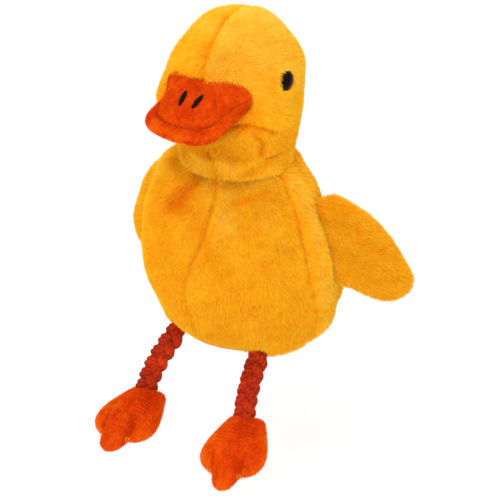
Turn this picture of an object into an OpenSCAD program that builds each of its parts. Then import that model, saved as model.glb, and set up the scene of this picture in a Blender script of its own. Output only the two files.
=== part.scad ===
// Plush duckling hand puppet with a mouth that opens, sizes in millimetres.
// The origin is the middle of the hand opening, the face looks along -Y and +Z is up.

/* [Body] */
// Width of the body at its widest
body_w = 100; // [92:1:112]
// Reach of the belly in front of the middle of the opening
belly_d = 52.5; // [47:0.5:58]
// Reach of the back behind the middle of the opening
back_d = 48.5; // [45:0.5:55]
// Height of the body from its hem to the neck seam
body_h = 98; // [88:1:112]
// How far the neck leans forward of the opening
neck_lean = 14; // [10:0.5:17]
// Turn of the side seams from the front
side_turn = 76; // [66:1:84]
// Diameter of the opening for the hand
opening_d = 64; // [56:1:66]
// Height of the hem band
hem_h = 8; // [5:0.5:12]
// Thickness of the hem band
hem_t = 2.4; // [1.6:0.2:3]

/* [Cloth] */
// Thickness of the plush with its pile pressed flat
plush_t = 3; // [2.2:0.2:3.4]
// Thickness of the cloth linings
lining_t = 1; // [0.6:0.1:1.4]
// Thickness of the cloth of the beak and the feet
velour_t = 1.2; // [0.8:0.1:1.6]
// Space between pieces that are sewn together
seam_gap = 0.3; // [0.2:0.05:0.4]
// Space between pieces that move on each other
move_gap = 0.5; // [0.4:0.05:0.8]

/* [Neck and head] */
// Radius of the round neck that the head turns and nods on
neck_r = 27; // [25.5:0.5:28]
// Height of the middle of the round neck above the neck seam
neck_up = 9; // [8:0.5:11]
// Radius of the hand passage in the neck
passage_r = 21.5; // [18:0.5:22]
// Height of the head above its lower rim
head_h = 71; // [66:1:78]
// Width of the head
head_w = 70; // [67:1:76]
// Reach of the forehead in front of the middle of the head
brow_d = 35.5; // [34:0.5:39]
// Reach of the back of the head behind its middle
nape_d = 35; // [34:0.5:39]
// Swell of the cheeks beside the mouth
cheek_d = 6.5; // [3:0.5:8]
// Height of the cheeks above the lower rim of the head
cheek_z = 21; // [18:0.5:24]
// Thickness of the padding in the crown
crown_pad = 8; // [5:0.5:9]

/* [Beak] */
// Reach of the mouth hinge in front of the middle of the neck
hinge_f = 25; // [23:0.5:26]
// Height of the mouth hinge above the lower rim of the head
hinge_z = 35.5; // [33.5:0.5:37]
// Slope of the closed mouth, down towards the tip
mouth_slope = 17; // [12:1:19]
// Angle that the mouth opens by
mouth_open = 32; // [20:1:36]
// Length of the beak in front of the mouth hinge
beak_l = 39.5; // [35:0.5:43]
// Width of the beak at the corners of the mouth
beak_w = 45; // [41:0.5:47]
// Height of the upper beak at its root
upper_h = 11.5; // [10:0.5:13]
// Depth of the lower beak at its root
lower_h = 15; // [13:0.5:16]
// Thickness of the padding in the beak
beak_pad = 1.6; // [1:0.1:2]
// Thickness of the stiff mouth plates
plate_t = 1.2; // [0.8:0.1:1.6]
// Thickness of the cloth in the mouth
felt_t = 1; // [0.6:0.1:1.4]
// Diameter of the cloth fold that hinges the mouth
fold_d = 2.4; // [1.6:0.2:2.8]

/* [Eyes and nostrils] */
// Diameter of an eye
eye_d = 11; // [7:0.5:12]
// Height of the eye's dome
eye_h = 2.9; // [2.6:0.1:4]
// Depth of the eye's rim in the pile
eye_sunk = 1.6; // [0.6:0.1:1.8]
// Turn of the eyes from the front
eye_turn = 79; // [72:1:84]
// Height of the eyes above the lower rim of the head
eye_z = 40.5; // [38:0.5:45]
// Diameter of the eye's shank
shank_d = 4; // [3:0.1:5]
// Diameter of the washer that locks an eye
washer_d = 11; // [9:0.5:13]
// Length of a nostril
nostril_l = 8; // [5:0.2:9]
// Half thickness of a nostril's thread bar
nostril_t = 0.6; // [0.4:0.1:1]

/* [Wings] */
// Height of the wing root's middle
wing_z = 52; // [48:1:56]
// Turn of the wing root from the front
wing_turn = 101; // [97:1:106]
// Sweep of the wings behind square
wing_sweep = 39; // [30:1:50]
// Reach of a wing from its root
wing_l = 33; // [28:0.5:39]
// Height of a wing, upper root to lower edge
wing_h = 57; // [50:0.5:62]
// Thickness of a wing
wing_t = 11; // [9:0.5:13]
// Thickness of the plush of a wing
wing_plush = 2; // [1.4:0.1:2.6]
// Diameter of the rolled seam at the wing root
root_d = 2.2; // [1.6:0.1:3]

/* [Legs and feet] */
// Thickness of the braided leg
rope_d = 11; // [8:0.2:11.6]
// Length of a leg from hip to ankle
leg_l = 29; // [26:0.5:38]
// Turn of the left leg from the front
left_hip_turn = 33; // [28:1:42]
// Turn of the right leg from the front
right_hip_turn = 42; // [34:1:46]
// Slant forward of the left leg
left_slant = 38; // [10:1:45]
// Slant forward of the right leg
right_slant = 20; // [10:1:45]
// Splay of the left leg
left_splay = 8; // [0:1:20]
// Splay of the right leg
right_splay = 16; // [0:1:20]
// Length of a foot
foot_l = 42; // [38:0.5:48]
// Width of a foot
foot_w = 34; // [30:0.5:39]
// Thickness of a foot
foot_t = 13; // [11:0.5:15]
// Slant of the left foot below level
left_foot_slant = 37; // [15:1:45]
// Slant of the right foot below level
right_foot_slant = 26; // [15:1:45]
// Turn of the left foot outward
left_toe_out = 6; // [0:1:15]
// Turn of the right foot outward
right_toe_out = 6; // [0:1:15]
// Swing of a foot up from rest
ankle_up = 35; // [25:1:35]
// Swing of a foot down from rest
ankle_down = 30; // [20:1:30]

/* [Hidden] */
hem_r = opening_d / 2 + hem_t + seam_gap + 0.36 * plush_t;
neck_c = [0, -neck_lean, body_h + neck_up];
neck_seat = neck_r + 1.6;
rim_z = neck_c.z + 2;
rim_r = neck_r + move_gap + plush_t;
hinge = [0, -neck_lean - hinge_f, rim_z + hinge_z];
plate_z = seam_gap / 2 + felt_t + seam_gap / 2;
rope_r = rope_d / 2;
$fn = 48;

// Smooth curve through a list of rows, t counted in rows.
function along(rows, t) =
    let (n = len(rows) - 1,
         i = max(0, min(n - 1, floor(t))),
         u = t - i,
         p = rows[i],
         q = rows[i + 1],
         m = (q - rows[max(i - 1, 0)]) / (i > 0 ? 2 : 1),
         k = (rows[min(i + 2, n)] - p) / (i < n - 1 ? 2 : 1))
    (2 * u ^ 3 - 3 * u ^ 2 + 1) * p + (u ^ 3 - 2 * u ^ 2 + u) * m
        + (3 * u ^ 2 - 2 * u ^ 3) * q + (u ^ 3 - u ^ 2) * k;

// Closed smooth curve through points, as n points.
function loop(points, n) =
    let (m = len(points))
    [for (k = [0 : n - 1])
        let (t = k * m / n,
             i = floor(t),
             u = t - i,
             a = points[(i + m - 1) % m],
             b = points[i],
             c = points[(i + 1) % m],
             d = points[(i + 2) % m])
        b + u * (c - a) / 2 + u ^ 2 * (a - 2.5 * b + 2 * c - d / 2) + u ^ 3 * (1.5 * (b - c) + (d - a) / 2)];

// Point at a depth below a form given as a function of two values.
function below(form, u, v, depth) =
    let (p = form(u, v),
         du = form(u + 0.2, v) - form(u - 0.2, v),
         dv = form(u, v + 0.01) - form(u, v - 0.01),
         n = cross(du, dv))
    p - depth * n / norm(n);

function sheet(form, us, vs, depth) = [for (u = us) [for (v = vs) below(form, u, v, depth)]];

// Evenly spaced values from a to b in n steps.
function steps(a, b, n) = [for (i = [0 : n]) a + (b - a) * i / n];

// Volume that faces enclose, to tell which way round they run.
function enclosed(points, faces) =
    [for (f = faces) points[f[0]] * cross(points[f[1]], points[f[2]])] * [for (f = faces) 1];

module solid(points, faces) {
    polyhedron(points, enclosed(points, faces) < 0 ? faces : [for (f = faces) [f[2], f[1], f[0]]]);
}

// Closed piece between two grids of points of the same size.
module between(outer, inner) {
    nu = len(outer);
    nv = len(outer[0]);
    m = nu * nv;
    top = [for (i = [0 : nu - 2], j = [0 : nv - 2])
        let (a = i * nv + j)
        each [[a, a + 1, a + nv + 1], [a, a + nv + 1, a + nv]]];
    rim = concat(
        [for (j = [0 : nv - 1]) j],
        [for (i = [1 : nu - 1]) i * nv + nv - 1],
        [for (j = [nv - 2 : -1 : 0]) (nu - 1) * nv + j],
        [for (i = [nu - 2 : -1 : 1]) i * nv]);
    walls = [for (k = [0 : len(rim) - 1])
        let (a = rim[k], b = rim[(k + 1) % len(rim)])
        each [[b, a, a + m], [b, a + m, b + m]]];
    solid(
        [for (grid = [outer, inner], row = grid) each row],
        concat(top, [for (f = top) [f[2] + m, f[1] + m, f[0] + m]], walls));
}

// Closed piece between two domes, each a list of rings that starts with its middle point alone.
module domes(upper, under) {
    n = len(upper[1]);
    r = len(upper) - 1;
    m = 1 + r * n;
    fan = [for (k = [0 : n - 1]) [0, 1 + k, 1 + (k + 1) % n]];
    band = [for (j = [0 : r - 2], k = [0 : n - 1])
        let (a = 1 + j * n + k, b = 1 + j * n + (k + 1) % n)
        each [[a, a + n, b + n], [a, b + n, b]]];
    edge = [for (k = [0 : n - 1])
        let (a = 1 + (r - 1) * n + k, b = 1 + (r - 1) * n + (k + 1) % n)
        each [[a, a + m, b + m], [a, b + m, b]]];
    face = concat(fan, band);
    solid(
        [for (dome = [upper, under], ring = dome) each ring],
        concat(face, [for (f = face) [f[2] + m, f[1] + m, f[0] + m]], edge));
}

// Rings of a cushion's face inside an outline, inset all round, with a height at each point.
rings = [0.4, 0.68, 0.87, 0.97, 1];
function cushion(outline, middle, inset, height) =
    concat(
        [[[middle.x, middle.y, height(middle, 0)]]],
        [for (s = rings)
            [for (p = outline)
                let (arm = p - middle, q = middle + arm * s * (1 - inset / norm(arm)))
                [q.x, q.y, height(q, s)]]]);
function swell(s) = (1 - s ^ 2.4) ^ 0.55;

// Body: rows of height, half width, front reach, back reach and lean, from hem to neck.
body_rows = concat(
    [[0, hem_r, hem_r, hem_r, 0]],
    [for (r = [[0.012, 0.31], [0.05, 0.66]])
        concat(
            [r[0] * body_h],
            [for (reach = [0.915 * body_w / 2, 0.88 * belly_d, 0.94 * back_d])
                hem_r + r[1] * (reach - hem_r)],
            [0])],
    [for (r = [
        [0.122, 0.915, 0.88, 0.94, 0.08],
        [0.255, 0.975, 0.965, 1, 0.32], [0.43, 0.99, 1, 0.985, 0.68], [0.612, 0.92, 0.933, 0.907, 0.79],
        [0.796, 0.82, 0.819, 0.814, 0.9], [0.898, 0.73, 0.71, 0.736, 0.955], [0.96, 0.665, 0.64, 0.685, 0.985]])
        [r[0] * body_h, r[1] * body_w / 2, r[2] * belly_d, r[3] * back_d, r[4] * neck_lean]],
    [[body_h, neck_seat, neck_seat, neck_seat, neck_lean]]);

// Head: the same, from the lower rim to the crown.
head_rows = concat(
    [[rim_z, rim_r, rim_r, rim_r, neck_lean]],
    [for (r = [
        [0.113, 0.914, 0.885, 0.93, 0.25], [0.268, 0.963, 0.935, 0.97, 0.65], [0.437, 0.997, 0.99, 1, 1],
        [0.577, 0.986, 1, 0.985, 1], [0.704, 0.893, 0.925, 0.915, 1], [0.817, 0.74, 0.765, 0.785, 1],
        [0.901, 0.555, 0.565, 0.6, 1], [0.962, 0.337, 0.342, 0.357, 1], [0.99, 0.145, 0.148, 0.15, 1],
        [1, 0.02, 0.02, 0.02, 1]])
        [rim_z + r[0] * head_h, r[1] * head_w / 2, r[2] * brow_d, r[3] * nape_d, neck_lean + 2 * r[4]]]);

function section(r, turn) =
    [r[1] * sin(turn), -r[4] - (cos(turn) > 0 ? r[2] : r[3]) * cos(turn), r[0]];
function body_at(turn, t) = section(along(body_rows, t), turn);
// The cheeks swell at the front corners of the head.
function cheek(turn, z) =
    let (a = (abs(turn > 180 ? turn - 360 : turn) - 58) / 24, b = (z - rim_z - cheek_z) / 11)
    cheek_d * exp(-a ^ 2 - b ^ 2);
function head_at(turn, t) =
    let (r = along(head_rows, t), c = cheek(turn, r[0]))
    section([r[0], r[1] + c, r[2] + c, r[3] + c, r[4]], turn);
body_skin = function (turn, t) body_at(turn, t);
head_skin = function (turn, t) head_at(turn, t);
body_t = [0, 0.5, 1, 2, 3, 4, 5, 6, 7, 8, 9, 9.6, 10];
head_t = [0, 1, 2, 3, 4, 5, 6, 7, 8, 9, 10];

// Row of the head that lies at a height.
function head_row(z, t = 0) = along(head_rows, t)[0] >= z ? t : head_row(z, t + 0.02);

// Beak: rows of reach, half width and height, from the root to the tip. The upper half is
// shorter and narrower than the lower, whose lip shows round it.
root_w = 1.06 * beak_w / 2;
function upper_rows(grow) = [for (r = [
        [0.055, 1.06, 1], [0.18, 0.97, 0.97], [0.33, 0.85, 0.9], [0.48, 0.785, 0.79],
        [0.61, 0.745, 0.66], [0.72, 0.655, 0.53], [0.8, 0.5, 0.43], [0.85, 0.3, 0.33], [0.875, 0.06, 0.25]])
    [r[0] * beak_l + grow * r[0], r[1] * beak_w / 2 + grow, r[2] * upper_h + grow]];
function lower_rows(grow) = [for (r = [
        [0.055, 1.05, 1], [0.18, 0.98, 0.99], [0.4, 0.9, 0.92], [0.62, 0.93, 0.81],
        [0.785, 0.91, 0.68], [0.89, 0.81, 0.56], [0.957, 0.61, 0.44], [0.99, 0.35, 0.32], [1, 0.06, 0.18]])
    [r[0] * beak_l + grow * r[0], r[1] * beak_w / 2 + grow, r[2] * lower_h + grow]];
function bow(x, power) = sign(x) * abs(x) ^ power;
function beak_point(r, turn, up) =
    [-up * r[1] * bow(sin(turn), 0.74), -r[0],
        up * (seam_gap / 2 + r[2] * bow(cos(turn), up > 0 ? 0.92 : 0.8))];
upper_skin = function (turn, t) beak_point(along(upper_rows(0), t), turn, 1);
lower_skin = function (turn, t) beak_point(along(lower_rows(0), t), turn, -1);
beak_u = steps(-89.8, 89.8, 12);
beak_t = [0, 1, 2, 3, 4, 5, 6, 7, 7.6, 8];

// Half width of the mouth at a reach, for the flat pieces.
function mouth_outline(rows, back) =
    let (side = concat(
        [[rows[0][1], -back]], [for (t = [0.6 : 0.4 : 7.8]) let (r = along(rows, t)) [r[1], -r[0]]]))
    concat(side, [for (i = [len(side) - 1 : -1 : 0]) [-side[i].x, side[i].y]]);

module in_mouth() {
    translate(hinge) rotate([mouth_slope, 0, 0]) children();
}

// Space that the upper beak takes, grown all round, down to the mouth.
module upper_space(grow) {
    rows = concat([[-8, root_w + grow, upper_h * 1.04 + grow]], upper_rows(grow));
    skin = function (turn, t) beak_point(along(rows, t), turn, 1);
    outer = [for (u = beak_u) [for (t = [0, 1, 2, 3, 4, 5, 6, 7]) skin(u, t)]];
    in_mouth() between(outer, [for (row = outer) [for (p = row) [p.x, p.y, -seam_gap]]]);
}

// Space that the lower beak takes with the mouth closed, grown all round.
module lower_space(grow) {
    rows = concat([[-8, root_w + grow, lower_h + grow]], lower_rows(grow));
    skin = function (turn, t) beak_point(along(rows, t), turn, -1);
    outer = [for (u = beak_u) [for (t = [0, 1, 2, 3, 4, 5, 6, 7]) skin(u, t)]];
    in_mouth() between(outer, [for (row = outer) [for (p = row) [p.x, p.y, 2]]]);
}

// Space that the lower beak sweeps, open to the mouth's closed plane.
module jaw_space(grow) {
    deep = lower_h + grow + 0.3;
    far = beak_l + 8;
    out = [cos(mouth_open), -sin(mouth_open)];
    down = [-sin(mouth_open), -cos(mouth_open)];
    half = root_w + grow;
    in_mouth() translate([-half, 0, 0]) rotate([90, 0, 90])
        linear_extrude(2 * half)
            polygon([for (p = [
                [-2.4 - grow, 0], [far, 0], far * out + deep * down, (deep + 0.4) * down + [-0.6, 0]])
                [-p.x, p.y]]);
}

module body_panel(from, to, shift) {
    us = steps(from, to, to - from > 120 ? 15 : 7);
    translate([shift, 0, 0])
        between(sheet(body_skin, us, body_t, 0), sheet(body_skin, us, body_t, plush_t));
}

module body_front_left() {
    color([0.95, 0.68, 0.12]) body_panel(0, side_turn, seam_gap / 2);
}

module body_front_right() {
    color([0.95, 0.68, 0.12]) mirror([1, 0, 0]) body_panel(0, side_turn, seam_gap / 2);
}

module body_back() {
    color([0.93, 0.64, 0.1]) body_panel(side_turn + 0.6, 359.4 - side_turn, 0);
}

// Loose cloth bag inside the plush.
module body_lining() {
    us = steps(0.4, 359.6, 20);
    vs = [0.6, 1, 2, 3, 4.5, 6, 7, 8, 8.8];
    depth = plush_t + 2.5 * seam_gap;
    color([0.9, 0.85, 0.7])
        between(sheet(body_skin, us, vs, depth), sheet(body_skin, us, vs, depth + lining_t));
}

module hem_band() {
    color([0.9, 0.6, 0.1]) difference() {
        cylinder(h = hem_h, r = opening_d / 2 + hem_t);
        translate([0, 0, -1]) cylinder(h = hem_h + 2, r = opening_d / 2);
    }
}

// Round neck, gathered on to the body's top seam.
module neck_cover() {
    base = body_h + seam_gap;
    color([0.92, 0.6, 0.1]) difference() {
        union() {
            intersection() {
                translate(neck_c) sphere(neck_r);
                translate([0, -neck_lean, base]) cylinder(h = neck_up + neck_r * 0.37, r = neck_r + 1);
            }
            translate([0, -neck_lean, base]) cylinder(h = 1.2, r = neck_seat - 0.3);
        }
        translate([0, -neck_lean, 0]) cylinder(h = 2 * body_h, r = passage_r);
    }
}

module neck_lining() {
    color([0.9, 0.85, 0.7]) translate([0, -neck_lean, body_h + seam_gap]) difference() {
        cylinder(h = neck_up + neck_r * 0.35, r = passage_r - seam_gap / 2);
        translate([0, 0, -1]) cylinder(h = body_h, r = passage_r - seam_gap / 2 - lining_t);
    }
}

module at_eye(side) {
    t = head_row(rim_z + eye_z);
    p = head_at(eye_turn, t);
    n = (p - below(head_skin, eye_turn, t, 1));
    q = [side * p.x, p.y, p.z];
    translate(q) rotate([0, acos(n.z), atan2(n.y, side * n.x)]) children();
}

module head_half() {
    us = steps(0, 180, 16);
    difference() {
        translate([seam_gap / 2, 0, 0])
            between(sheet(head_skin, us, head_t, 0), sheet(head_skin, us, head_t, plush_t));
        upper_space(seam_gap);
        jaw_space(move_gap);
        at_eye(1) cylinder(h = 20, d = shank_d + 2 * seam_gap, center = true);
        at_eye(1) translate([0, 0, -eye_sunk - seam_gap]) cylinder(h = 20, d = eye_d + 2 * seam_gap);
    }
}

module head_left() {
    color([0.95, 0.68, 0.12]) head_half();
}

module head_right() {
    color([0.93, 0.64, 0.1]) mirror([1, 0, 0]) head_half();
}

// Plush under the lower beak, which folds when the mouth opens.
module chin_gusset() {
    us = steps(-46, 46, 10);
    vs = [0.3, 0.8, 1.4, 2, 2.6, 3.2];
    color([0.92, 0.62, 0.1]) difference() {
        intersection() {
            between(sheet(head_skin, us, vs, 0.4), sheet(head_skin, us, vs, plush_t));
            jaw_space(move_gap - seam_gap);
        }
        lower_space(seam_gap);
    }
}

pad_u = steps(97, 263, 10);
pad_t = [1.9, 3, 4, 5, 6, 7, 8, 8.8];

module crown_padding() {
    depth = plush_t + seam_gap;
    color([0.96, 0.96, 0.92])
        between(sheet(head_skin, pad_u, pad_t, depth), sheet(head_skin, pad_u, pad_t, depth + crown_pad));
}

module head_lining() {
    depth = plush_t + crown_pad + 2 * seam_gap;
    color([0.9, 0.85, 0.7])
        between(sheet(head_skin, pad_u, pad_t, depth), sheet(head_skin, pad_u, pad_t, depth + lining_t));
}

// Plastic eye: domed face with a shank through the plush.
module eye(side) {
    bow_r = (eye_d ^ 2 / 4 + eye_h ^ 2) / (2 * eye_h);
    color([0.05, 0.04, 0.04]) at_eye(side) {
        intersection() {
            translate([0, 0, eye_h - eye_sunk - bow_r]) sphere(bow_r);
            translate([0, 0, -eye_sunk]) cylinder(h = eye_h + 1, d = eye_d + 2);
        }
        translate([0, 0, -plush_t - 4]) cylinder(h = plush_t + 4 - eye_sunk + 0.4, d = shank_d);
    }
}

module eye_left() {
    eye(1);
}

module eye_right() {
    eye(-1);
}

module washer(side) {
    color([0.85, 0.85, 0.85]) at_eye(side) translate([0, 0, -plush_t - seam_gap - 1.6 - 0.55])
        difference() {
            cylinder(h = 1.6, d = washer_d);
            translate([0, 0, -1]) cylinder(h = 4, d = shank_d + seam_gap);
        }
}

module eye_washer_left() {
    washer(1);
}

module eye_washer_right() {
    washer(-1);
}

module upper_beak_cover() {
    color([0.92, 0.32, 0.04]) in_mouth()
        between(sheet(upper_skin, beak_u, beak_t, 0), sheet(upper_skin, beak_u, beak_t, velour_t));
}

// Wadding over the fingers.
module upper_beak_padding() {
    us = steps(-52, 52, 8);
    vs = [0, 1, 2, 3, 3.6];
    depth = velour_t + seam_gap;
    color([0.96, 0.96, 0.92]) in_mouth()
        between(sheet(upper_skin, us, vs, depth), sheet(upper_skin, us, vs, depth + beak_pad));
}

module mouth_flat(up, back, from, thick) {
    inset = velour_t + 2 * seam_gap;
    in_mouth() translate([0, 0, from])
        linear_extrude(thick) polygon(mouth_outline(up > 0 ? upper_rows(-inset) : lower_rows(-inset), back));
}

module upper_mouth_plate() {
    color([0.8, 0.8, 0.78]) mouth_flat(1, fold_d, plate_z, plate_t);
}

module palate_cloth() {
    color([0.75, 0.12, 0.06]) mouth_flat(1, fold_d / 2 + seam_gap, seam_gap / 2, felt_t);
}

// Embroidered nostril, a flat bar of thread along the beak.
module nostril(side) {
    turn = -side * 8.6;
    t = 3.45;
    p = upper_skin(turn, t);
    n = p - below(upper_skin, turn, t, 1);
    color([0.05, 0.04, 0.04]) in_mouth() translate(p + (0.2 + nostril_t) * n)
        rotate([0, acos(n.z), atan2(n.y, n.x)]) rotate([0, 90, 0])
            cylinder(h = nostril_l, r = nostril_t, center = true);
}

module nostril_left() {
    nostril(1);
}

module nostril_right() {
    nostril(-1);
}

// Cloth fold at the back of the mouth.
module mouth_fold() {
    color([0.75, 0.12, 0.06]) in_mouth() rotate([0, 90, 0]) cylinder(h = beak_w - 6, d = fold_d, center = true);
}

module lower_beak_cover() {
    color([0.95, 0.4, 0.05]) in_mouth()
        between(sheet(lower_skin, beak_u, beak_t, 0), sheet(lower_skin, beak_u, beak_t, velour_t));
}

module lower_beak_padding() {
    us = steps(-54, 54, 8);
    vs = [0, 1, 2, 3, 4];
    depth = velour_t + seam_gap;
    color([0.96, 0.96, 0.92]) in_mouth()
        between(sheet(lower_skin, us, vs, depth), sheet(lower_skin, us, vs, depth + beak_pad));
}

module lower_mouth_plate() {
    color([0.8, 0.8, 0.78]) mouth_flat(-1, fold_d, -plate_z - plate_t, plate_t);
}

module mouth_floor_cloth() {
    color([0.75, 0.12, 0.06]) mouth_flat(-1, fold_d / 2 + seam_gap, -seam_gap / 2 - felt_t, felt_t);
}

// Wing: its root lies along the body, x runs out from the root and z up along it.
wing_t0 = [for (t = [4 : 0.02 : 8]) if (along(body_rows, t)[0] >= wing_z) t][0];
wing_foot = body_at(wing_turn, wing_t0);
wing_axis = let (d = body_at(wing_turn, wing_t0 + 0.5) - body_at(wing_turn, wing_t0 - 0.5)) d / norm(d);
wing_off = wing_foot - below(body_skin, wing_turn, wing_t0, 1);
wing_at = wing_foot + (root_d / 2 + seam_gap) * wing_off;
wing_out = let (d = [cos(wing_sweep), sin(wing_sweep), 0], o = d - (d * wing_axis) * wing_axis) o / norm(o);
wing_thru = cross(wing_axis, wing_out);
wing_clear = root_d / 2 + seam_gap;
wing_shape = [for (p = [
        [0, 0.42], [0.18, 0.48], [0.42, 0.36], [0.62, 0.2], [0.79, 0], [0.89, -0.19], [0.985, -0.39],
        [0.985, -0.51], [0.86, -0.605], [0.58, -0.63], [0.28, -0.53], [0.08, -0.4], [0, -0.3], [0, 0.05]])
    [wing_clear + p.x * wing_l, p.y * wing_h]];
wing_line = [for (p = loop(wing_shape, 30)) [max(p.x, wing_clear), p.y]];
wing_mid = [wing_clear + 0.48 * wing_l, -0.11 * wing_h];

module on_wing(side) {
    mirror([side < 0 ? 1 : 0, 0, 0])
        multmatrix([for (i = [0 : 2]) [wing_out[i], wing_axis[i], -wing_thru[i], wing_at[i]]])
            children();
}

module wing_cover(face) {
    outer = cushion(wing_line, wing_mid, 0, function (p, s) face * (seam_gap / 2 + wing_t / 2 * swell(s)));
    inner = cushion(wing_line, wing_mid, wing_plush,
        function (p, s) face * (seam_gap / 2 + (wing_t / 2 - wing_plush) * swell(s)));
    domes(outer, inner);
}

module wing_padding(side) {
    inset = wing_plush + seam_gap + 0.3;
    high = wing_t / 2 - wing_plush - seam_gap;
    color([0.96, 0.96, 0.92]) on_wing(side)
        domes(
            cushion(wing_line, wing_mid, inset, function (p, s) 0.2 + high * swell(s)),
            cushion(wing_line, wing_mid, inset, function (p, s) -0.2 - high * swell(s)));
}

module wing_root(side) {
    color([0.9, 0.55, 0.08]) on_wing(side) rotate([-90, 0, 0]) translate([0, 0, -wing_h * 0.3])
        cylinder(h = wing_h * 0.6, d = root_d);
}

module wing_left_front() {
    color([0.95, 0.62, 0.1]) on_wing(1) wing_cover(1);
}

module wing_left_back() {
    color([0.9, 0.55, 0.08]) on_wing(1) wing_cover(-1);
}

module wing_left_padding() {
    wing_padding(1);
}

module wing_left_root() {
    wing_root(1);
}

module wing_right_front() {
    color([0.95, 0.62, 0.1]) on_wing(-1) wing_cover(1);
}

module wing_right_back() {
    color([0.9, 0.55, 0.08]) on_wing(-1) wing_cover(-1);
}

module wing_right_padding() {
    wing_padding(-1);
}

module wing_right_root() {
    wing_root(-1);
}

// Leg: hangs from the underside of the body, z runs down along it.
function hip(side) =
    let (turn = side > 0 ? left_hip_turn : right_hip_turn, foot = body_at(turn, 1),
        p = foot + (rope_r + move_gap) * (foot - below(body_skin, turn, 1, 1)))
    [side * p.x, p.y, p.z];
function slant(side) = side > 0 ? left_slant : right_slant;
function splay(side) = side > 0 ? left_splay : right_splay;
function ankle(side) =
    hip(side) + leg_l * [side * sin(splay(side)), -cos(splay(side)) * sin(slant(side)),
        -cos(splay(side)) * cos(slant(side))];

module leg(side) {
    way = ankle(side) - hip(side);
    color([0.85, 0.22, 0.05]) translate(hip(side))
        rotate([0, acos(way.z / leg_l), atan2(way.y, way.x)]) {
            sphere(rope_r);
            cylinder(h = leg_l, r = rope_r);
            translate([0, 0, leg_l]) sphere(rope_r);
        }
}

module leg_left() {
    leg(1);
}

module leg_right() {
    leg(-1);
}

// Foot: x across, y towards the toes and z up, from the ankle.
foot_shape = [for (p = [
        [0, -0.05], [0.32, -0.055], [0.52, -0.02], [0.69, 0.11], [0.88, 0.28], [1, 0.44], [0.99, 0.565],
        [0.87, 0.655], [0.64, 0.725], [0.49, 0.78], [0.4, 0.87], [0.22, 0.945], [0, 0.965]])
    [p.x * foot_w / 2, p.y * foot_l]];
foot_line = loop(
    concat(foot_shape, [for (i = [len(foot_shape) - 2 : -1 : 1]) [-foot_shape[i].x, foot_shape[i].y]]), 32);
foot_mid = [0, 0.45 * foot_l];
foot_base = 0.5;

// Creases that part the three toes.
function toes(p) =
    let (reach = max(0, min(1, (p.y / foot_l - 0.46) / 0.2)),
        off = (abs(p.x) - 0.22 * foot_w) / (0.075 * foot_w))
    1 - 0.4 * reach * exp(-off ^ 2);

module on_foot(side) {
    translate(ankle(side)) mirror([side < 0 ? 1 : 0, 0, 0])
        rotate([0, 0, 180 + (side > 0 ? left_toe_out : right_toe_out)])
            rotate([side > 0 ? -left_foot_slant : -right_foot_slant, 0, 0])
                translate([0, 0, -foot_base]) children();
}

module foot_face(up, share) {
    domes(
        cushion(foot_line, foot_mid, 0,
            function (p, s) up * (seam_gap / 2 + share * foot_t * swell(s) * toes(p))),
        cushion(foot_line, foot_mid, velour_t,
            function (p, s) up * (seam_gap / 2 + (share * foot_t - velour_t) * swell(s) * toes(p))));
}

module ankle_socket() {
    translate([0, 0, foot_base]) rotate([90, 0, 0]) sphere(1.03 * (rope_r + move_gap));
}

// Room for the rope where it comes out of the foot, over the whole swing.
module ankle_room(side) {
    way = (hip(side) - ankle(side)) / leg_l;
    translate(ankle(side)) hull()
        for (swing = [-ankle_down, 0, ankle_up])
            rotate([swing, 0, 0]) {
                sphere(1.02 * (rope_r + move_gap), $fn = 20);
                translate(foot_t * way) sphere(1.02 * (rope_r + move_gap), $fn = 20);
            }
}

module foot_top(side) {
    color([0.92, 0.32, 0.04]) difference() {
        on_foot(side) foot_face(1, 0.58);
        ankle_room(side);
    }
}

module foot_sole(side) {
    color([0.88, 0.28, 0.04]) on_foot(side) difference() {
        foot_face(-1, 0.42);
        ankle_socket();
    }
}

module foot_stuffing(side) {
    inset = velour_t + seam_gap + 0.3;
    slack = velour_t + seam_gap;
    color([0.96, 0.96, 0.92]) on_foot(side) difference() {
        domes(
            cushion(foot_line, foot_mid, inset,
                function (p, s) 0.1 + (0.58 * foot_t - slack) * swell(s) * toes(p)),
            cushion(foot_line, foot_mid, inset,
                function (p, s) -0.1 - (0.42 * foot_t - slack) * swell(s) * toes(p)));
        translate([0, 0, foot_base]) rotate([0, 90, 0])
            cylinder(h = foot_w, r = 1.03 * (rope_r + move_gap), center = true);
    }
}

module foot_left_top() {
    foot_top(1);
}

module foot_left_sole() {
    foot_sole(1);
}

module foot_left_stuffing() {
    foot_stuffing(1);
}

module foot_right_top() {
    foot_top(-1);
}

module foot_right_sole() {
    foot_sole(-1);
}

module foot_right_stuffing() {
    foot_stuffing(-1);
}

body_front_left();
body_front_right();
body_back();
body_lining();
hem_band();
neck_cover();
neck_lining();
head_left();
head_right();
chin_gusset();
crown_padding();
head_lining();
eye_left();
eye_right();
eye_washer_left();
eye_washer_right();
upper_beak_cover();
upper_beak_padding();
upper_mouth_plate();
palate_cloth();
nostril_left();
nostril_right();
mouth_fold();
lower_beak_cover();
lower_beak_padding();
lower_mouth_plate();
mouth_floor_cloth();
wing_left_front();
wing_left_back();
wing_left_padding();
wing_left_root();
wing_right_front();
wing_right_back();
wing_right_padding();
wing_right_root();
leg_left();
leg_right();
foot_left_top();
foot_left_sole();
foot_left_stuffing();
foot_right_top();
foot_right_sole();
foot_right_stuffing();
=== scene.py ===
import math

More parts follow.
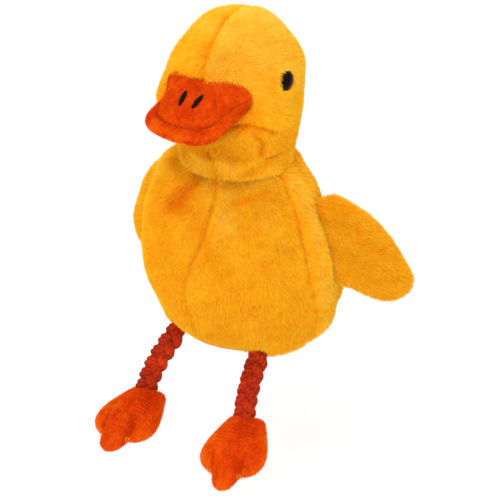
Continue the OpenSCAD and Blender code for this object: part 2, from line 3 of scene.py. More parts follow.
import bmesh
import bpy
import numpy as np
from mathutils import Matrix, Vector


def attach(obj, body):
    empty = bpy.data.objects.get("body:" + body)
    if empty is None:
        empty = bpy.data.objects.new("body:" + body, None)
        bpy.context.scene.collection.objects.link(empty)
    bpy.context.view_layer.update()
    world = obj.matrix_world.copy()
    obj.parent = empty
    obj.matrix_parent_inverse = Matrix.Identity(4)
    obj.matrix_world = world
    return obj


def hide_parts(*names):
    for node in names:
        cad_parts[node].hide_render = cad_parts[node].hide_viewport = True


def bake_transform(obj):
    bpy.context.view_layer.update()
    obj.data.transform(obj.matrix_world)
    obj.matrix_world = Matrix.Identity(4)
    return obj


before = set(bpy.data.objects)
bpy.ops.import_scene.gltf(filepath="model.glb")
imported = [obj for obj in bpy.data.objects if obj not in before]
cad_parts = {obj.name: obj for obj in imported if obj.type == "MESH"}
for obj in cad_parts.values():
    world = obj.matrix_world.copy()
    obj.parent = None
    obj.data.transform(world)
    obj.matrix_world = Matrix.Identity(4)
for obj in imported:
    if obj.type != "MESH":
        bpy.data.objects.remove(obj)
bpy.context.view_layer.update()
scene = bpy.context.scene
MM = 0.001


# Studio. The puppet hangs in a bright white sweep, seen a little from above and
# from its left, with a broad soft lamp in front and a weaker one at its left.
class Wire:
    """An output in a node tree. Arithmetic on it adds Math nodes."""

    def __init__(self, socket):
        self.socket = socket
        self.tree = socket.id_data

    def node(self, kind, settings=None, sockets=None, out=0):
        return make(self.tree, kind, settings, sockets, out)

    def math(self, operation, *values):
        return self.node("ShaderNodeMath", {"operation": operation}, dict(enumerate(values)))

    def __add__(self, other):
        return self.math("ADD", self, other)

    def __sub__(self, other):
        return self.math("SUBTRACT", self, other)

    def __mul__(self, other):
        return self.math("MULTIPLY", self, other)

    def __pow__(self, other):
        return self.math("POWER", self, other)

    def clamped(self):
        return self.node("ShaderNodeClamp", None, {"Value": self})

    def mixed(self, low, high):
        """A colour between two, this wire saying how far."""
        return self.node(
            "ShaderNodeMix", {"data_type": "RGBA"}, {"Factor": self, "A": low, "B": high}, "Result")


def make(tree, kind, settings=None, sockets=None, out=0):
    """Adds a node: its settings first, then its sockets' values or links."""
    made = tree.nodes.new(kind)
    for name, value in (settings or {}).items():
        if name == "stops":
            ramp = made.color_ramp.elements
            while len(ramp) < len(value):
                ramp.new(0.5)
            for stop, (place, colour) in zip(ramp, value):
                stop.position, stop.color = place, colour
        else:
            setattr(made, name, value)

    def pick(found, name):
        if isinstance(name, int):
            return found[name]
        return next(s for s in found if s.name == name and s.enabled)

    for name, value in (sockets or {}).items():
        socket = pick(made.inputs, name)
        if isinstance(value, Wire):
            tree.links.new(value.socket, socket)
        else:
            socket.default_value = value
    return Wire(pick(made.outputs, out))


def linear(red, green, blue):
    """A colour as the eye names it, out of 255, as the linear one that shaders use."""
    parts = [c / 255 for c in (red, green, blue)]
    return tuple(c / 12.92 if c < 0.04045 else ((c + 0.055) / 1.055) ** 2.4 for c in parts) + (1.0,)


def new_material(name, **values):
    """A material, its shader with these values, and its Object coordinates."""
    material = bpy.data.materials.new(name)
    material.use_nodes = True
    shader = material.node_tree.nodes["Principled BSDF"]
    for socket, value in values.items():
        shader.inputs[socket.replace("_", " ")].default_value = value
    place = make(material.node_tree, "ShaderNodeTexCoord", out="Object")
    return material, shader, place


def feed(shader, socket, wire):
    shader.id_data.links.new(wire.socket, shader.inputs[socket])


def bump(shader, height, depth):
    """Relief from a height between 0 and 1, depth metres deep."""
    feed(shader, "Normal", height.node(
        "ShaderNodeBump", None, {"Strength": 1.0, "Distance": depth, "Height": height}))


def noise(place, scale, detail=2.0):
    return place.node("ShaderNodeTexNoise", None, {"Vector": place, "Scale": scale, "Detail": detail}, "Fac")


def mottled(name, scale, dark, light, detail=2.0, relief=0, **values):
    """A material that noise varies between two colours, with relief of so many metres."""
    material, shader, place = new_material(name, **values)
    grain = noise(place, scale, detail)
    feed(shader, "Base Color", grain.mixed(linear(*dark), linear(*light)))
    if relief:
        bump(shader, grain, relief)
    return material


def add(name, data):
    """A new object in the scene."""
    made = bpy.data.objects.new(name, data)
    scene.collection.objects.link(made)
    return made


def aim(item, back):
    """Turns a camera or lamp so that its back is this way."""
    item.rotation_mode = "QUATERNION"
    item.rotation_quaternion = back.to_track_quat("Z", "Y")


VIEW_TURN, FRAME_WIDE, FLOOR_Z, FLOOR_HALF = math.radians(30), 0.25, -0.11, 3
right = Vector((math.cos(VIEW_TURN), math.sin(VIEW_TURN), 0))
back = Vector((0.4568, -0.7911, 0.4067))
up = back.cross(right)
camera = add("camera", bpy.data.cameras.new("camera"))
camera.data.type = "ORTHO"
camera.data.ortho_scale = FRAME_WIDE
camera.data.clip_end = 10
camera.location = right * -0.001 + up * 0.03685 + back * 0.9
aim(camera, back)
scene.camera = camera

floor_mesh = bpy.data.meshes.new("floor")
floor_mesh.from_pydata(
    [(x * FLOOR_HALF, y * FLOOR_HALF, FLOOR_Z) for x, y in ((-1, -1), (1, -1), (1, 1), (-1, 1))], [],
    [(0, 1, 2, 3)])
floor_mesh.materials.append(
    mottled("white_sweep", 40.0, (250, 250, 250), (255, 255, 255), Roughness=0.9))
add("floor", floor_mesh)

world = bpy.data.worlds.new("studio")
world.use_nodes = True
world.node_tree.nodes["Background"].inputs["Color"].default_value = (1, 1, 1, 1)
world.node_tree.nodes["Background"].inputs["Strength"].default_value = 0.97
scene.world = world
scene.view_settings.view_transform = "Standard"
LIT = Vector((0, 0, 0.08))
for name, place, size, power in (
        ("front_lamp", (0.25, -0.85, 0.8), 0.8, 8.0), ("side_lamp", (0.9, 0.15, 0.6), 0.6, 0.6)):
    lamp = bpy.data.lights.new(name, "AREA")
    lamp.energy, lamp.size = power, size
    holder = add(name, lamp)
    holder.location = place
    aim(holder, Vector(place) - LIT)


# Lining. A loose bag of thin cream cotton inside the plush, from the hem up to
# the crown, so that a hand slides in. The head's lining is quilted on wadding.
def hermite(p, q, m, k, u):
    """Smooth curve from p to q, leaving with slope m and arriving with slope k."""
    return ((2 * u ** 3 - 3 * u ** 2 + 1) * p + (u ** 3 - 2 * u ** 2 + u) * m
            + (3 * u ** 2 - 2 * u ** 3) * q + (u ** 3 - u ** 2) * k)


def along(rows, t):
    """Smooth curve through rows, t counted in rows."""
    rows, t = np.asarray(rows, float), np.asarray(t, float)
    last = len(rows) - 1
    i = np.clip(np.floor(t).astype(int), 0, last - 1)
    p, q = rows[i], rows[i + 1]
    m = (q - rows[np.maximum(i - 1, 0)]) / np.where(i > 0, 2, 1)[..., None]
    k = (rows[np.minimum(i + 2, last)] - p) / np.where(i < last - 1, 2, 1)[..., None]
    return hermite(p, q, m, k, (t - i)[..., None])


def section(row, turn):
    """Point at a turn, in degrees from the front, on a row of height, width, front, back and lean."""
    a = np.radians(turn)
    reach = np.where(np.cos(a) > 0, row[..., 2], row[..., 3])
    return np.stack([row[..., 1] * np.sin(a), -row[..., 4] - reach * np.cos(a), row[..., 0]], -1)


BODY_ROWS = [
    [0, 35.8, 35.8, 35.8, 0], [1.2, 38.9, 39, 38.8, 0], [4.9, 42.4, 42.7, 42.3, 0],
    [12, 45.8, 46.2, 45.6, 1.1], [25, 48.8, 50.7, 48.5, 4.5], [42.1, 49.5, 52.5, 47.8, 9.5],
    [60, 46, 49, 44, 11.1], [78, 41, 43, 39.5, 12.6], [88, 36.5, 37.3, 35.7, 13.4],
    [94.1, 33.3, 33.6, 33.2, 13.8], [98, 28.6, 28.6, 28.6, 14]]
HEAD_ROWS = [
    [109, 30.5, 30.5, 30.5, 14], [117, 32, 31.4, 32.6, 14.5], [128, 33.7, 33.2, 34, 15.3],
    [140, 34.9, 35.1, 35, 16], [150, 34.5, 35.5, 34.5, 16], [159, 31.3, 32.8, 32, 16],
    [167, 25.9, 27.2, 27.5, 16], [173, 19.4, 20.1, 21, 16], [177.3, 11.8, 12.1, 12.5, 16],
    [179.3, 5.1, 5.3, 5.2, 16], [180, 0.7, 0.7, 0.7, 16]]
CHEEK_TURN, CHEEK_Z, CHEEK_SWELL, CHEEK_WIDE, CHEEK_HIGH = 58, 130, 6.5, 24, 11
NECK_Y = -14


def grid(first, second):
    """Every pair of two rows of values, as two arrays."""
    return np.meshgrid(first, second, indexing="ij")


def body_surface(turn, t):
    return section(along(BODY_ROWS, t), turn)


def head_surface(turns, ts):
    turn, t = grid(turns, ts)
    row = along(HEAD_ROWS, t)
    side = np.abs((turn + 180) % 360 - 180)
    swell = CHEEK_SWELL * np.exp(
        -((side - CHEEK_TURN) / CHEEK_WIDE) ** 2 - ((row[..., 0] - CHEEK_Z) / CHEEK_HIGH) ** 2)
    row[..., 1:4] += swell[..., None]
    return section(row, turn), turn


def ring(radius, turn, height, middle=0.0):
    """Points round an upright axis at y = middle, turned in radians from the front."""
    return np.stack([radius * np.sin(turn), middle - radius * np.cos(turn), height + 0 * turn], -1)


def waver(points, size, seed):
    """Smooth unevenness, about -1 to 1, over points, of a given size."""
    draw = np.random.default_rng(seed)
    total = 0
    for _ in range(7):
        way = draw.normal(size=3)
        way *= draw.uniform(0.7, 1.4) * 2 * math.pi / size / np.linalg.norm(way)
        total = total + np.sin(points @ way + draw.uniform(0, 2 * math.pi))
    return total / 2.6


def outward(points):
    """Unit normals of a grid of points, outward for turn by height."""
    n = np.cross(np.gradient(points, axis=0), np.gradient(points, axis=1))
    return n / np.maximum(np.linalg.norm(n, axis=-1, keepdims=True), 1e-9)


def paint(mesh, **layers):
    """Stores named numbers or vectors at a mesh's points."""
    for layer, values in layers.items():
        vector = values.ndim == 2 and values.shape[1] == 3
        store = mesh.attributes.new(layer, "FLOAT_VECTOR" if vector else "FLOAT", "POINT")
        store.data.foreach_set("vector" if vector else "value", values.astype(np.float32).ravel())


def shell(name, points, normals, thick, layers=None, keep=None, closed=False, material=None):
    """A cloth shell over a grid of points in millimetres. Named layers hold values at the outer points,
    keep says which points stay, and closed joins the first row to the last."""
    rows, columns = points.shape[:2]
    index = np.arange(rows * columns).reshape(rows, columns)
    if closed:
        index = np.vstack([index, index[:1]])
    faces = np.stack([index[:-1, :-1], index[1:, :-1], index[1:, 1:], index[:-1, 1:]], -1).reshape(-1, 4)
    if keep is not None:
        faces = faces[keep.ravel()[faces].all(1)]
    used, faces = np.unique(faces, return_inverse=True)
    faces = faces.reshape(-1, 4)
    outer = points.reshape(-1, 3)[used]
    inner = outer - thick * normals.reshape(-1, 3)[used]
    count = len(used)
    edges = np.stack([faces, np.roll(faces, -1, 1)], -1).reshape(-1, 2)
    keys = edges[:, 0] * count + edges[:, 1]
    rim = edges[~np.isin(keys, edges[:, 1] * count + edges[:, 0])]
    walls = np.stack([rim[:, 1], rim[:, 0], rim[:, 0] + count, rim[:, 1] + count], -1)
    mesh = bpy.data.meshes.new(name)
    mesh.from_pydata((np.vstack([outer, inner]) * MM).tolist(), [],
                     np.vstack([faces, faces[:, ::-1] + count, walls]).tolist())
    for layer, values in (layers or {}).items():
        values = values.reshape(rows * columns, -1)[used]
        paint(mesh, **{layer: np.vstack([values, values * 0 if layer == "pile" else values])})
    mesh.shade_smooth()
    if material:
        mesh.materials.append(material)
    return add(name, mesh)


def sunk(name, surface, depth, thick, **more):
    """A shell that lies a depth below a surface."""
    normals = outward(surface)
    return shell(name, surface - np.asarray(depth)[..., None] * normals, normals, thick, **more)


def woven(place, scale, distortion):
    """The slanting threads of a cloth, from 0 to 1."""
    return place.node("ShaderNodeTexWave", {"wave_type": "BANDS", "bands_direction": "DIAGONAL"},
                      {"Vector": place, "Scale": scale, "Distortion": distortion}, "Fac")


cotton, cotton_shader, cotton_place = new_material("cream_cotton", Roughness=0.9)
weave = woven(cotton_place, 900.0, 0.6)
crease = noise(cotton_place, 90.0)
feed(cotton_shader, "Base Color",
     (weave * 0.5 + crease * 0.5).mixed(linear(216, 196, 150), linear(244, 232, 200)))
bump(cotton_shader, weave * 0.3 + crease, 0.0006)

COTTON, LINING_DEPTH, NECK_LINING_R = 0.4, 5.4, 20.9
surface = body_surface(*grid(np.linspace(0, 358, 120), np.linspace(0.9, 9.3, 60)))
creases = 0.5 * waver(surface * (1, 1, 0.35), 13, 3) - 0.5
body_lining = sunk("body_lining_bag", surface, LINING_DEPTH - creases, COTTON, closed=True, material=cotton)
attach(body_lining, "torso")
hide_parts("body_lining")

turn, height = grid(np.radians(np.linspace(0, 357, 120)), np.linspace(99, 114.5, 20))
surface = ring(NECK_LINING_R + 0.35 * np.sin(9 * turn + height / 4), turn, height, NECK_Y)
neck_lining = sunk("neck_lining_tube", surface, 0, COTTON, closed=True, material=cotton)
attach(neck_lining, "neck")
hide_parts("neck_lining")

PAD_DEPTH, PAD_THICK, CAP_DEPTH = 5.2, 6.6, 12.2
surface, _ = head_surface(np.linspace(97, 263, 70), np.linspace(1.9, 8.8, 50))
wadding = mottled(
    "white_wadding", 500.0, (226, 226, 218), (250, 250, 246), detail=4.0, relief=0.001, Roughness=1.0)
head_pad = sunk("head_wadding", surface, PAD_DEPTH, PAD_THICK, material=wadding)
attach(head_pad, "head")
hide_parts("crown_padding")
quilting = CAP_DEPTH + 0.24 * waver(surface, 17, 9)
head_lining = sunk("head_lining_cap", surface, quilting, COTTON, material=cotton)
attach(head_lining, "head")
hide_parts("head_lining")


# Hem. A band of golden twill tape round the hand opening, folded over the
# plush's raw edge and held by a row of machine stitches.
def node_group(name, *inputs):
    """A Geometry Nodes tree with inputs of these names and kinds. Returns it and its inputs' wires."""
    tree = bpy.data.node_groups.new(name, "GeometryNodeTree")
    for label, kind in inputs:
        tree.interface.new_socket(label, in_out="INPUT", socket_type="NodeSocket" + kind)
    tree.interface.new_socket("Mesh", in_out="OUTPUT", socket_type="NodeSocketGeometry")
    source = tree.nodes.new("NodeGroupInput")
    return tree, {s.name: Wire(s) for s in source.outputs if s.name}


def close_group(tree, geometry, material):
    """Ends a tree with real geometry in a material."""
    real = make(tree, "GeometryNodeRealizeInstances", None, {"Geometry": geometry})
    dressed = make(tree, "GeometryNodeSetMaterial", None, {"Geometry": real, "Material": material})
    tree.links.new(dressed.socket, tree.nodes.new("NodeGroupOutput").inputs[0])


def applied(item, tree, **values):
    """The plain mesh that a tree with these inputs makes of an object."""
    modifier = item.modifiers.new("nodes", "NODES")
    modifier.node_group = tree
    for socket in tree.interface.items_tree:
        if socket.in_out == "INPUT" and socket.name in values:
            modifier[socket.identifier] = values[socket.name]
    ready = item.evaluated_get(bpy.context.evaluated_depsgraph_get())
    mesh = bpy.data.meshes.new_from_object(ready)
    item.modifiers.clear()
    return mesh


def tubes(name, lines, radius, material, sides=6):
    """Threads along lines of points in millimetres, as one piece, by Geometry Nodes."""
    curve = bpy.data.curves.new(name, "CURVE")
    curve.dimensions = "3D"
    for line in lines:
        spline = curve.splines.new("POLY")
        spline.points.add(len(line) - 1)
        flat = np.hstack([np.asarray(line) * MM, np.ones((len(line), 1))])
        spline.points.foreach_set("co", flat.astype(np.float32).ravel())
    laid = add(name + "_line", curve)
    tree, given = node_group(
        name + "_thread", ("Line", "Geometry"), ("Radius", "Float"), ("Sides", "Int"), ("Yarn", "Material"))
    profile = make(tree, "GeometryNodeCurvePrimitiveCircle", None,
                   {"Resolution": given["Sides"], "Radius": given["Radius"]})
    swept = make(tree, "GeometryNodeCurveToMesh", None,
                 {"Curve": given["Line"], "Profile Curve": profile, "Fill Caps": True})
    close_group(tree, make(tree, "GeometryNodeSetShadeSmooth", None, {0: swept}), given["Yarn"])
    mesh = applied(laid, tree, Radius=radius * MM, Sides=sides, Yarn=material)
    bpy.data.objects.remove(laid)
    mesh.name = name
    return add(name, mesh)


def face_out(mesh):
    """Turns a mesh's faces outwards."""
    work = bmesh.new()
    work.from_mesh(mesh)
    bmesh.ops.recalc_face_normals(work, faces=work.faces)
    work.to_mesh(mesh)
    work.free()


tape, tape_shader, tape_place = new_material("golden_twill", Roughness=0.85)
twill = woven(tape_place, 500.0, 1.0)
feed(tape_shader, "Base Color", twill.mixed(linear(214, 130, 10), linear(240, 164, 30)))
bump(tape_shader, twill, 0.0003)
profile = np.array([
    [34.3, 7.8], [33.6, 8.1], [32.6, 7.6], [32.3, 6.2], [32.15, 4], [32.3, 1.6], [32.8, 0.3], [33.6, 0.05],
    [34.3, 0.5], [34.5, 2.5], [34.5, 5.5]])
turn = np.radians(np.linspace(0, 358, 180))[:, None]
band = ring(profile[:, 0] + 0.12 * np.sin(23 * turn), turn, profile[:, 1])
count, sides = band.shape[:2]
index = np.arange(count * sides).reshape(count, sides)
after = np.roll(index, -1, 0)
band_faces = np.stack([index, after, np.roll(after, -1, 1), np.roll(index, -1, 1)], -1).reshape(-1, 4)
band_mesh = bpy.data.meshes.new("hem_tape")
band_mesh.from_pydata((band.reshape(-1, 3) * MM).tolist(), [], band_faces.tolist())
band_mesh.materials.append(tape)
band_mesh.shade_smooth()
face_out(band_mesh)
hem = add("hem_tape", band_mesh)
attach(hem, "torso")
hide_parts("hem_band")
thread = mottled("amber_thread", 1500.0, (226, 140, 20), (252, 190, 70), Roughness=0.6)
HEM_STITCHES, STITCH_Z, STITCH_R, THREAD_R = 64, 5.6, 32.16, 0.24
stitches = []
for i in range(HEM_STITCHES):
    a = 2 * math.pi * (i + np.linspace(-0.33, 0.33, 7)) / HEM_STITCHES
    stitches.append(ring(STITCH_R - 0.22 * np.sin(np.linspace(0, math.pi, 7)), a, STITCH_Z))
hem_stitching = tubes("hem_stitching", stitches, THREAD_R, thread)
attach(hem_stitching, "torso")


# Body. Three panels of short golden plush, two at the front and one round the
# back, sewn edge to edge. The seams pull in, and the pile is combed downwards.
def steps(*runs):
    """Values over runs of a start, an end and a count, each run ending where the next starts."""
    return np.concatenate([np.linspace(*run)[:-1] for run in runs[:-1]] + [np.linspace(*runs[-1])])


def bell(x, width):
    return np.exp(-(x / width) ** 2)


def nearness(points, line, width):
    """1 on a line of points, falling to 0 about two widths away."""
    a, b = np.asarray(line[:-1], float), np.asarray(line[1:], float)
    flat = points.reshape(-1, 1, 3)
    span = b - a
    f = np.clip(((flat - a) * span).sum(-1) / (span ** 2).sum(-1), 0, 1)
    gap = np.linalg.norm(flat - (a + f[..., None] * span), axis=-1).min(1)
    return bell(gap, width).reshape(points.shape[:-1])


def patches(side, height, places):
    """A sum of soft patches, each a turn, a height, two widths and a strength."""
    return sum(deep * np.exp(-((side - a) / wide) ** 2 - ((height - z) / high) ** 2)
               for a, z, wide, high, deep in places)


def pile_tree():
    """Geometry Nodes that grow a pile of tapered tufts on a skin. The skin's points say which way
    a tuft lies (comb), how long it is (pile) and its shade (tone)."""
    tree, given = node_group(
        "plush_pile", ("Skin", "Geometry"), ("Tufts", "Float"), ("Length", "Float"), ("Width", "Float"),
        ("Stray", "Float"), ("Mottle", "Float"), ("Seed", "Int"), ("Cloth", "Material"))
    skin, seed = given["Skin"], given["Seed"]

    def named(name, kind="FLOAT"):
        return make(tree, "GeometryNodeInputNamedAttribute", {"data_type": kind}, {"Name": name},
                    "Attribute")

    def stored(geometry, name, value, kind="FLOAT", domain="POINT"):
        return make(tree, "GeometryNodeStoreNamedAttribute", {"data_type": kind, "domain": domain},
                    {"Geometry": geometry, "Name": name, "Value": value})

    def chance(low, high, shift, kind="FLOAT"):
        return make(tree, "FunctionNodeRandomValue", {"data_type": kind},
                    {"Min": low, "Max": high, "Seed": seed + float(shift)}, "Value")

    def vector(operation, **sockets):
        return make(tree, "ShaderNodeVectorMath", {"operation": operation},
                    {{"a": 0, "b": 1}.get(k, k): v for k, v in sockets.items()})

    thickness = given["Tufts"] * (named("pile") * 20.0).clamped()
    scatter = make(tree, "GeometryNodeDistributePointsOnFaces", {"distribute_method": "RANDOM"},
                   {"Mesh": skin, "Density": thickness, "Seed": seed}, "Points")
    normal = Wire(next(s for s in scatter.socket.node.outputs if s.name == "Normal"))
    clump = make(tree, "ShaderNodeTexNoise", None, {"Scale": 320.0, "Detail": 2.0}, "Fac") - 0.5
    swirl = Wire(clump.socket.node.inputs[0].links[0].from_node.outputs["Color"])
    shade = named("tone") + (chance(-1.0, 1.0, 1) + clump * 2.0) * given["Mottle"]
    tufts = stored(scatter, "shade", shade)
    stray = vector("SCALE", a=chance((-1, -1, -1), (1, 1, 1), 2, "FLOAT_VECTOR"), Scale=given["Stray"])
    swirl = vector("SCALE", a=vector("SUBTRACT", a=swirl, b=(0.5, 0.5, 0.5)), Scale=0.6)
    way = vector("ADD", a=vector("ADD", a=normal, b=named("comb", "FLOAT_VECTOR")),
                 b=vector("ADD", a=stray, b=swirl))
    turned = make(tree, "FunctionNodeAlignRotationToVector", {"axis": "Z"}, {"Vector": way})
    roll = make(tree, "FunctionNodeAxisAngleToRotation", None,
                {"Axis": (0, 0, 1), "Angle": chance(0.0, 6.28, 3)})
    turned = make(tree, "FunctionNodeRotateRotation", {"rotation_space": "LOCAL"},
                  {"Rotation": turned, "Rotate By": roll})
    tall = given["Length"] * named("pile") * (chance(0.88, 1.12, 4) + clump * 0.35)
    size = make(tree, "ShaderNodeCombineXYZ", None,
                {"X": given["Width"], "Y": given["Width"], "Z": tall})
    tuft = make(tree, "GeometryNodeMeshCone", {"fill_type": "NGON"},
                {"Vertices": 3, "Side Segments": 1, "Radius Top": 0.0, "Radius Bottom": 0.5, "Depth": 1.0},
                "Mesh")
    at = make(tree, "GeometryNodeInputPosition")
    split = make(tree, "ShaderNodeSeparateXYZ", None, {0: at}, "Z")
    tuft = stored(tuft, "rise", split)
    tuft = stored(tuft, "side", Wire(split.socket.node.outputs["X"]))
    grown = make(tree, "GeometryNodeInstanceOnPoints", None,
                 {"Points": tufts, "Instance": tuft, "Rotation": turned, "Scale": size})
    grown = make(tree, "GeometryNodeRealizeInstances", None, {"Geometry": grown})

    def mapped(geometry, across, high):
        place = make(tree, "ShaderNodeCombineXYZ", None, {"X": across, "Y": high})
        return stored(geometry, "OFBake", place, "FLOAT2", "CORNER")

    grown = mapped(grown, named("shade") * 0.8 + 0.1 + named("side") * 0.02, named("rise") * 0.84 + 0.14)
    grain = make(tree, "ShaderNodeTexWhiteNoise", {"noise_dimensions": "3D"},
                 {"Vector": vector("SCALE", a=at, Scale=3e4)}, "Value")
    skin = mapped(skin, named("tone") * 0.8 + 0.1 + grain * 0.03, grain * 0.06 + 0.04)
    both = make(tree, "GeometryNodeJoinGeometry")
    for part in (grown, skin):
        tree.links.new(part.socket, both.socket.node.inputs[0])
    close_group(tree, both, given["Cloth"])
    return tree


def grow(piece, **values):
    """Grows pile on a piece and keeps the result as its plain mesh."""
    mesh = applied(piece, pile, **values)
    piece.data = mesh
    mesh.name = piece.name
    for spare in ("comb", "pile", "tone", "shade", "rise", "side"):
        if spare in mesh.attributes:
            mesh.attributes.remove(mesh.attributes[spare])


def pile_material(name, roots, tips, sheen, glow):
    """Dyed pile: deep at the roots and pale at the tips, each from its darkest shade to its lightest."""
    material, shader, _ = new_material(
        name, Roughness=0.8, Specular_IOR_Level=0.1, Sheen_Weight=glow, Sheen_Roughness=0.45,
        Sheen_Tint=linear(*sheen))
    place = make(material.node_tree, "ShaderNodeUVMap", {"uv_map": "OFBake"})
    tone = place.node("ShaderNodeSeparateXYZ", None, {0: place}, "X")
    rise = Wire(tone.socket.node.outputs["Y"])

    def shades(colours):
        stops = [(i / (len(colours) - 1), linear(*c)) for i, c in enumerate(colours)]
        return tone.node("ShaderNodeValToRGB", {"stops": stops}, {0: tone})

    feed(shader, "Base Color", (rise ** 0.8).clamped().mixed(shades(roots), shades(tips)))
    return material


def combed(normals, way, lean):
    """The part of a direction that lies along a surface, of the given length."""
    flat = way - (way * normals).sum(-1, keepdims=True) * normals
    return flat / np.maximum(np.linalg.norm(flat, axis=-1, keepdims=True), 0.25) * lean


def swaying(points, size, seed):
    return np.stack([waver(points, size, seed + i) for i in range(3)], -1)


pile = pile_tree()
PLUSH = pile_material(
    "golden_plush", [(233, 108, 0), (247, 160, 2), (249, 190, 14)],
    [(243, 138, 0), (248, 197, 30), (250, 226, 98)], (255, 200, 60), 0.1)
PLUSH_PILE = dict(Length=2.8 * MM, Width=0.5 * MM, Stray=0.45, Mottle=0.1, Cloth=PLUSH)
BACK_PILE = dict(PLUSH_PILE, Width=0.62 * MM)
BACKING, CLOTH, SIDE_SEAM, SEAM_WIDE = 2.2, 0.8, 76, 1.6
DOWN = np.array([0, 0, -1.0])
body_ts = steps((0, 3, 14), (3, 8, 50), (8, 10, 18))
heights = along(BODY_ROWS, body_ts)[:, 0]
chest_seam = np.interp(heights, [5, 46, 56, 69, 90, 98], [-9, -4, -1, 5, 11, 9])
seams = [body_surface(turns + 0 * body_ts, body_ts) for turns in (chest_seam, SIDE_SEAM, -SIDE_SEAM)]


def on_body(places):
    """Points on the body at places of turn and height."""
    turns, zs = np.array(places, float).T
    return body_surface(turns, np.interp(zs, heights, body_ts))


FOLDS = [([(32, 90), (42, 91.5), (53, 93)], 1.5, 3.0), ([(-13, 93), (-22, 86), (-27, 82)], 1.8, 5.0)]
HEM_DROP = [(52, 0, 24, 8, 2.2)]
HOLLOWS = [(-10, 2, 28, 8, 3.0), (-62, 18, 25, 14, 2.2), (120, 14, 25, 10, 2.6), (115, 93, 30, 8, 1.6),
           (-66, 95, 30, 9, -4.0), (-64, 77, 26, 17, -4.6), (95, 55, 9, 24, -1.6), (-95, 55, 9, 24, -1.6)]
# Patches of painted light and shade in the pile's tone, each a turn, a height, two widths and a strength:
# paler along the right side's edge, beside the wing and along the bottom edge, a painted highlight on the top
# of the chest panel and on the body's top under the neck, and painted shade in the chest dimple, on the belly
# below the chest and on the right front, away from the front lamp.
BODY_PAINTED_LIGHT = [(-70, 50, 15, 60, 0.22), (93, 60, 13, 60, 0.24), (20, 82, 10, 14, 0.2), (-22, 86, 12, 9, -0.42),
          (25, 26, 45, 26, -0.14), (-25, 4, 40, 8, 0.1), (-42, 55, 26, 45, -0.12), (20, 96, 70, 5, 0.2)]
for name, node, first, last, columns, tufts, look, seed in (
        ("chest_plush_left", "body_front_left", chest_seam, SIDE_SEAM, 40, 6.4e6, PLUSH_PILE, 11),
        ("chest_plush_right", "body_front_right", -SIDE_SEAM, chest_seam, 40, 6.4e6, PLUSH_PILE, 12),
        ("back_plush", "body_back", SIDE_SEAM, 360 - SIDE_SEAM, 80, 2.6e6, BACK_PILE, 13)):
    turn = first + np.linspace(0, 1, columns)[:, None] * (last - first) + 0 * body_ts
    surface = body_surface(turn, np.broadcast_to(body_ts, turn.shape))
    side = (turn + 180) % 360 - 180
    surface[..., 2] -= patches(side, surface[..., 2], HEM_DROP)
    height = surface[..., 2]
    normals = outward(surface)
    furrow = np.clip(sum(nearness(surface, seam, SEAM_WIDE) for seam in seams), 0, 1)
    furrow *= np.clip(height / 55, 0.4, 1)
    folds = sum(deep * nearness(surface, on_body(line), wide) for line, deep, wide in FOLDS)
    depth = (BACKING + 1.5 * furrow + folds + patches(side, height, HOLLOWS)
             - 0.6 * waver(surface, 34, 5) - 0.2 * waver(surface, 12, 6))
    # Tone: random unevenness, painted shade along the seams and in the folds, and the painted light patches.
    tone = (0.47 + 0.06 * waver(surface, 22, 7) + 0.05 * waver(surface, 7, 8) - 0.3 * furrow
            - 0.1 * folds + patches(side, height, BODY_PAINTED_LIGHT))
    piece = sunk(name, surface, depth, CLOTH, layers={
        "comb": combed(normals, DOWN + 0.25 * swaying(surface, 16, 20), 1.1),
        "pile": 1 - 0.3 * furrow, "tone": np.clip(tone, 0, 1)})
    grow(piece, Tufts=tufts, Seed=seed, **look)
    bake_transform(piece)
    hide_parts(node)


# Neck. A gathered sleeve of the same plush between body and head, with folds.
# Its lower edge is sewn into the body and its upper into the head.
NECK_R, FOLD_R, NECK_TUCK_Z, NECK_MIDDLE_Z = 28.2, 30.0, 96.5, 105.5
NECK_SWELLS = [(25, 104, 34, 4.5, 1.8), (-68, 98, 32, 7, 4.0), (5, 107.5, 34, 4, 1.4), (30, 97, 55, 3.6, 3.0)]
# Patches of painted light in the tone, each a turn, a height, two widths and a strength, lifting the shade
# under the head's rim and in the crease above the body.
NECK_PAINTED_LIGHT = [(10, 107, 45, 5, 0.14), (30, 97, 55, 5, 0.2)]
NECK_FOLDS = [([(8, 97.5), (30, 99.5), (62, 106), (74, 109)], 1.3), ([(3, 110), (6, 104), (8, 97)], 1.0)]
turn, height = grid(np.radians(np.linspace(0, 357.5, 144)), np.linspace(93, 115.5, 28))
side = (np.degrees(turn) + 180) % 360 - 180
radius = (NECK_R - 0.5 * np.clip(NECK_TUCK_Z - height, 0, 9)
          + 0.8 * np.cos((height - NECK_MIDDLE_Z) / 10 * 1.9)
          + 0.4 * np.sin(11 * turn + height / 3) + patches(side, height, NECK_SWELLS))
surface = ring(radius, turn, height, NECK_Y)
folds = 0
for line, deep in NECK_FOLDS:
    a, z = np.array(line, float).T
    folds = folds + deep * nearness(surface, ring(FOLD_R, np.radians(a), z, NECK_Y), 2.2)
surface = ring(radius - folds, turn, height, NECK_Y)
normals = outward(surface)
# Tone: random unevenness, painted shade in the folds and the painted light patches.
tone = 0.48 + 0.05 * waver(surface, 15, 31) - 0.15 * folds + patches(side, height, NECK_PAINTED_LIGHT)
neck = sunk("neck_plush", surface, BACKING, CLOTH, layers={
    "comb": combed(normals, DOWN + 0.3 * swaying(surface, 12, 30), 1.0),
    "pile": np.ones_like(radius), "tone": np.clip(tone, 0, 1)}, closed=True)
grow(neck, Tufts=4.5e6, Seed=14, **PLUSH_PILE)
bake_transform(neck)
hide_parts("neck_cover")


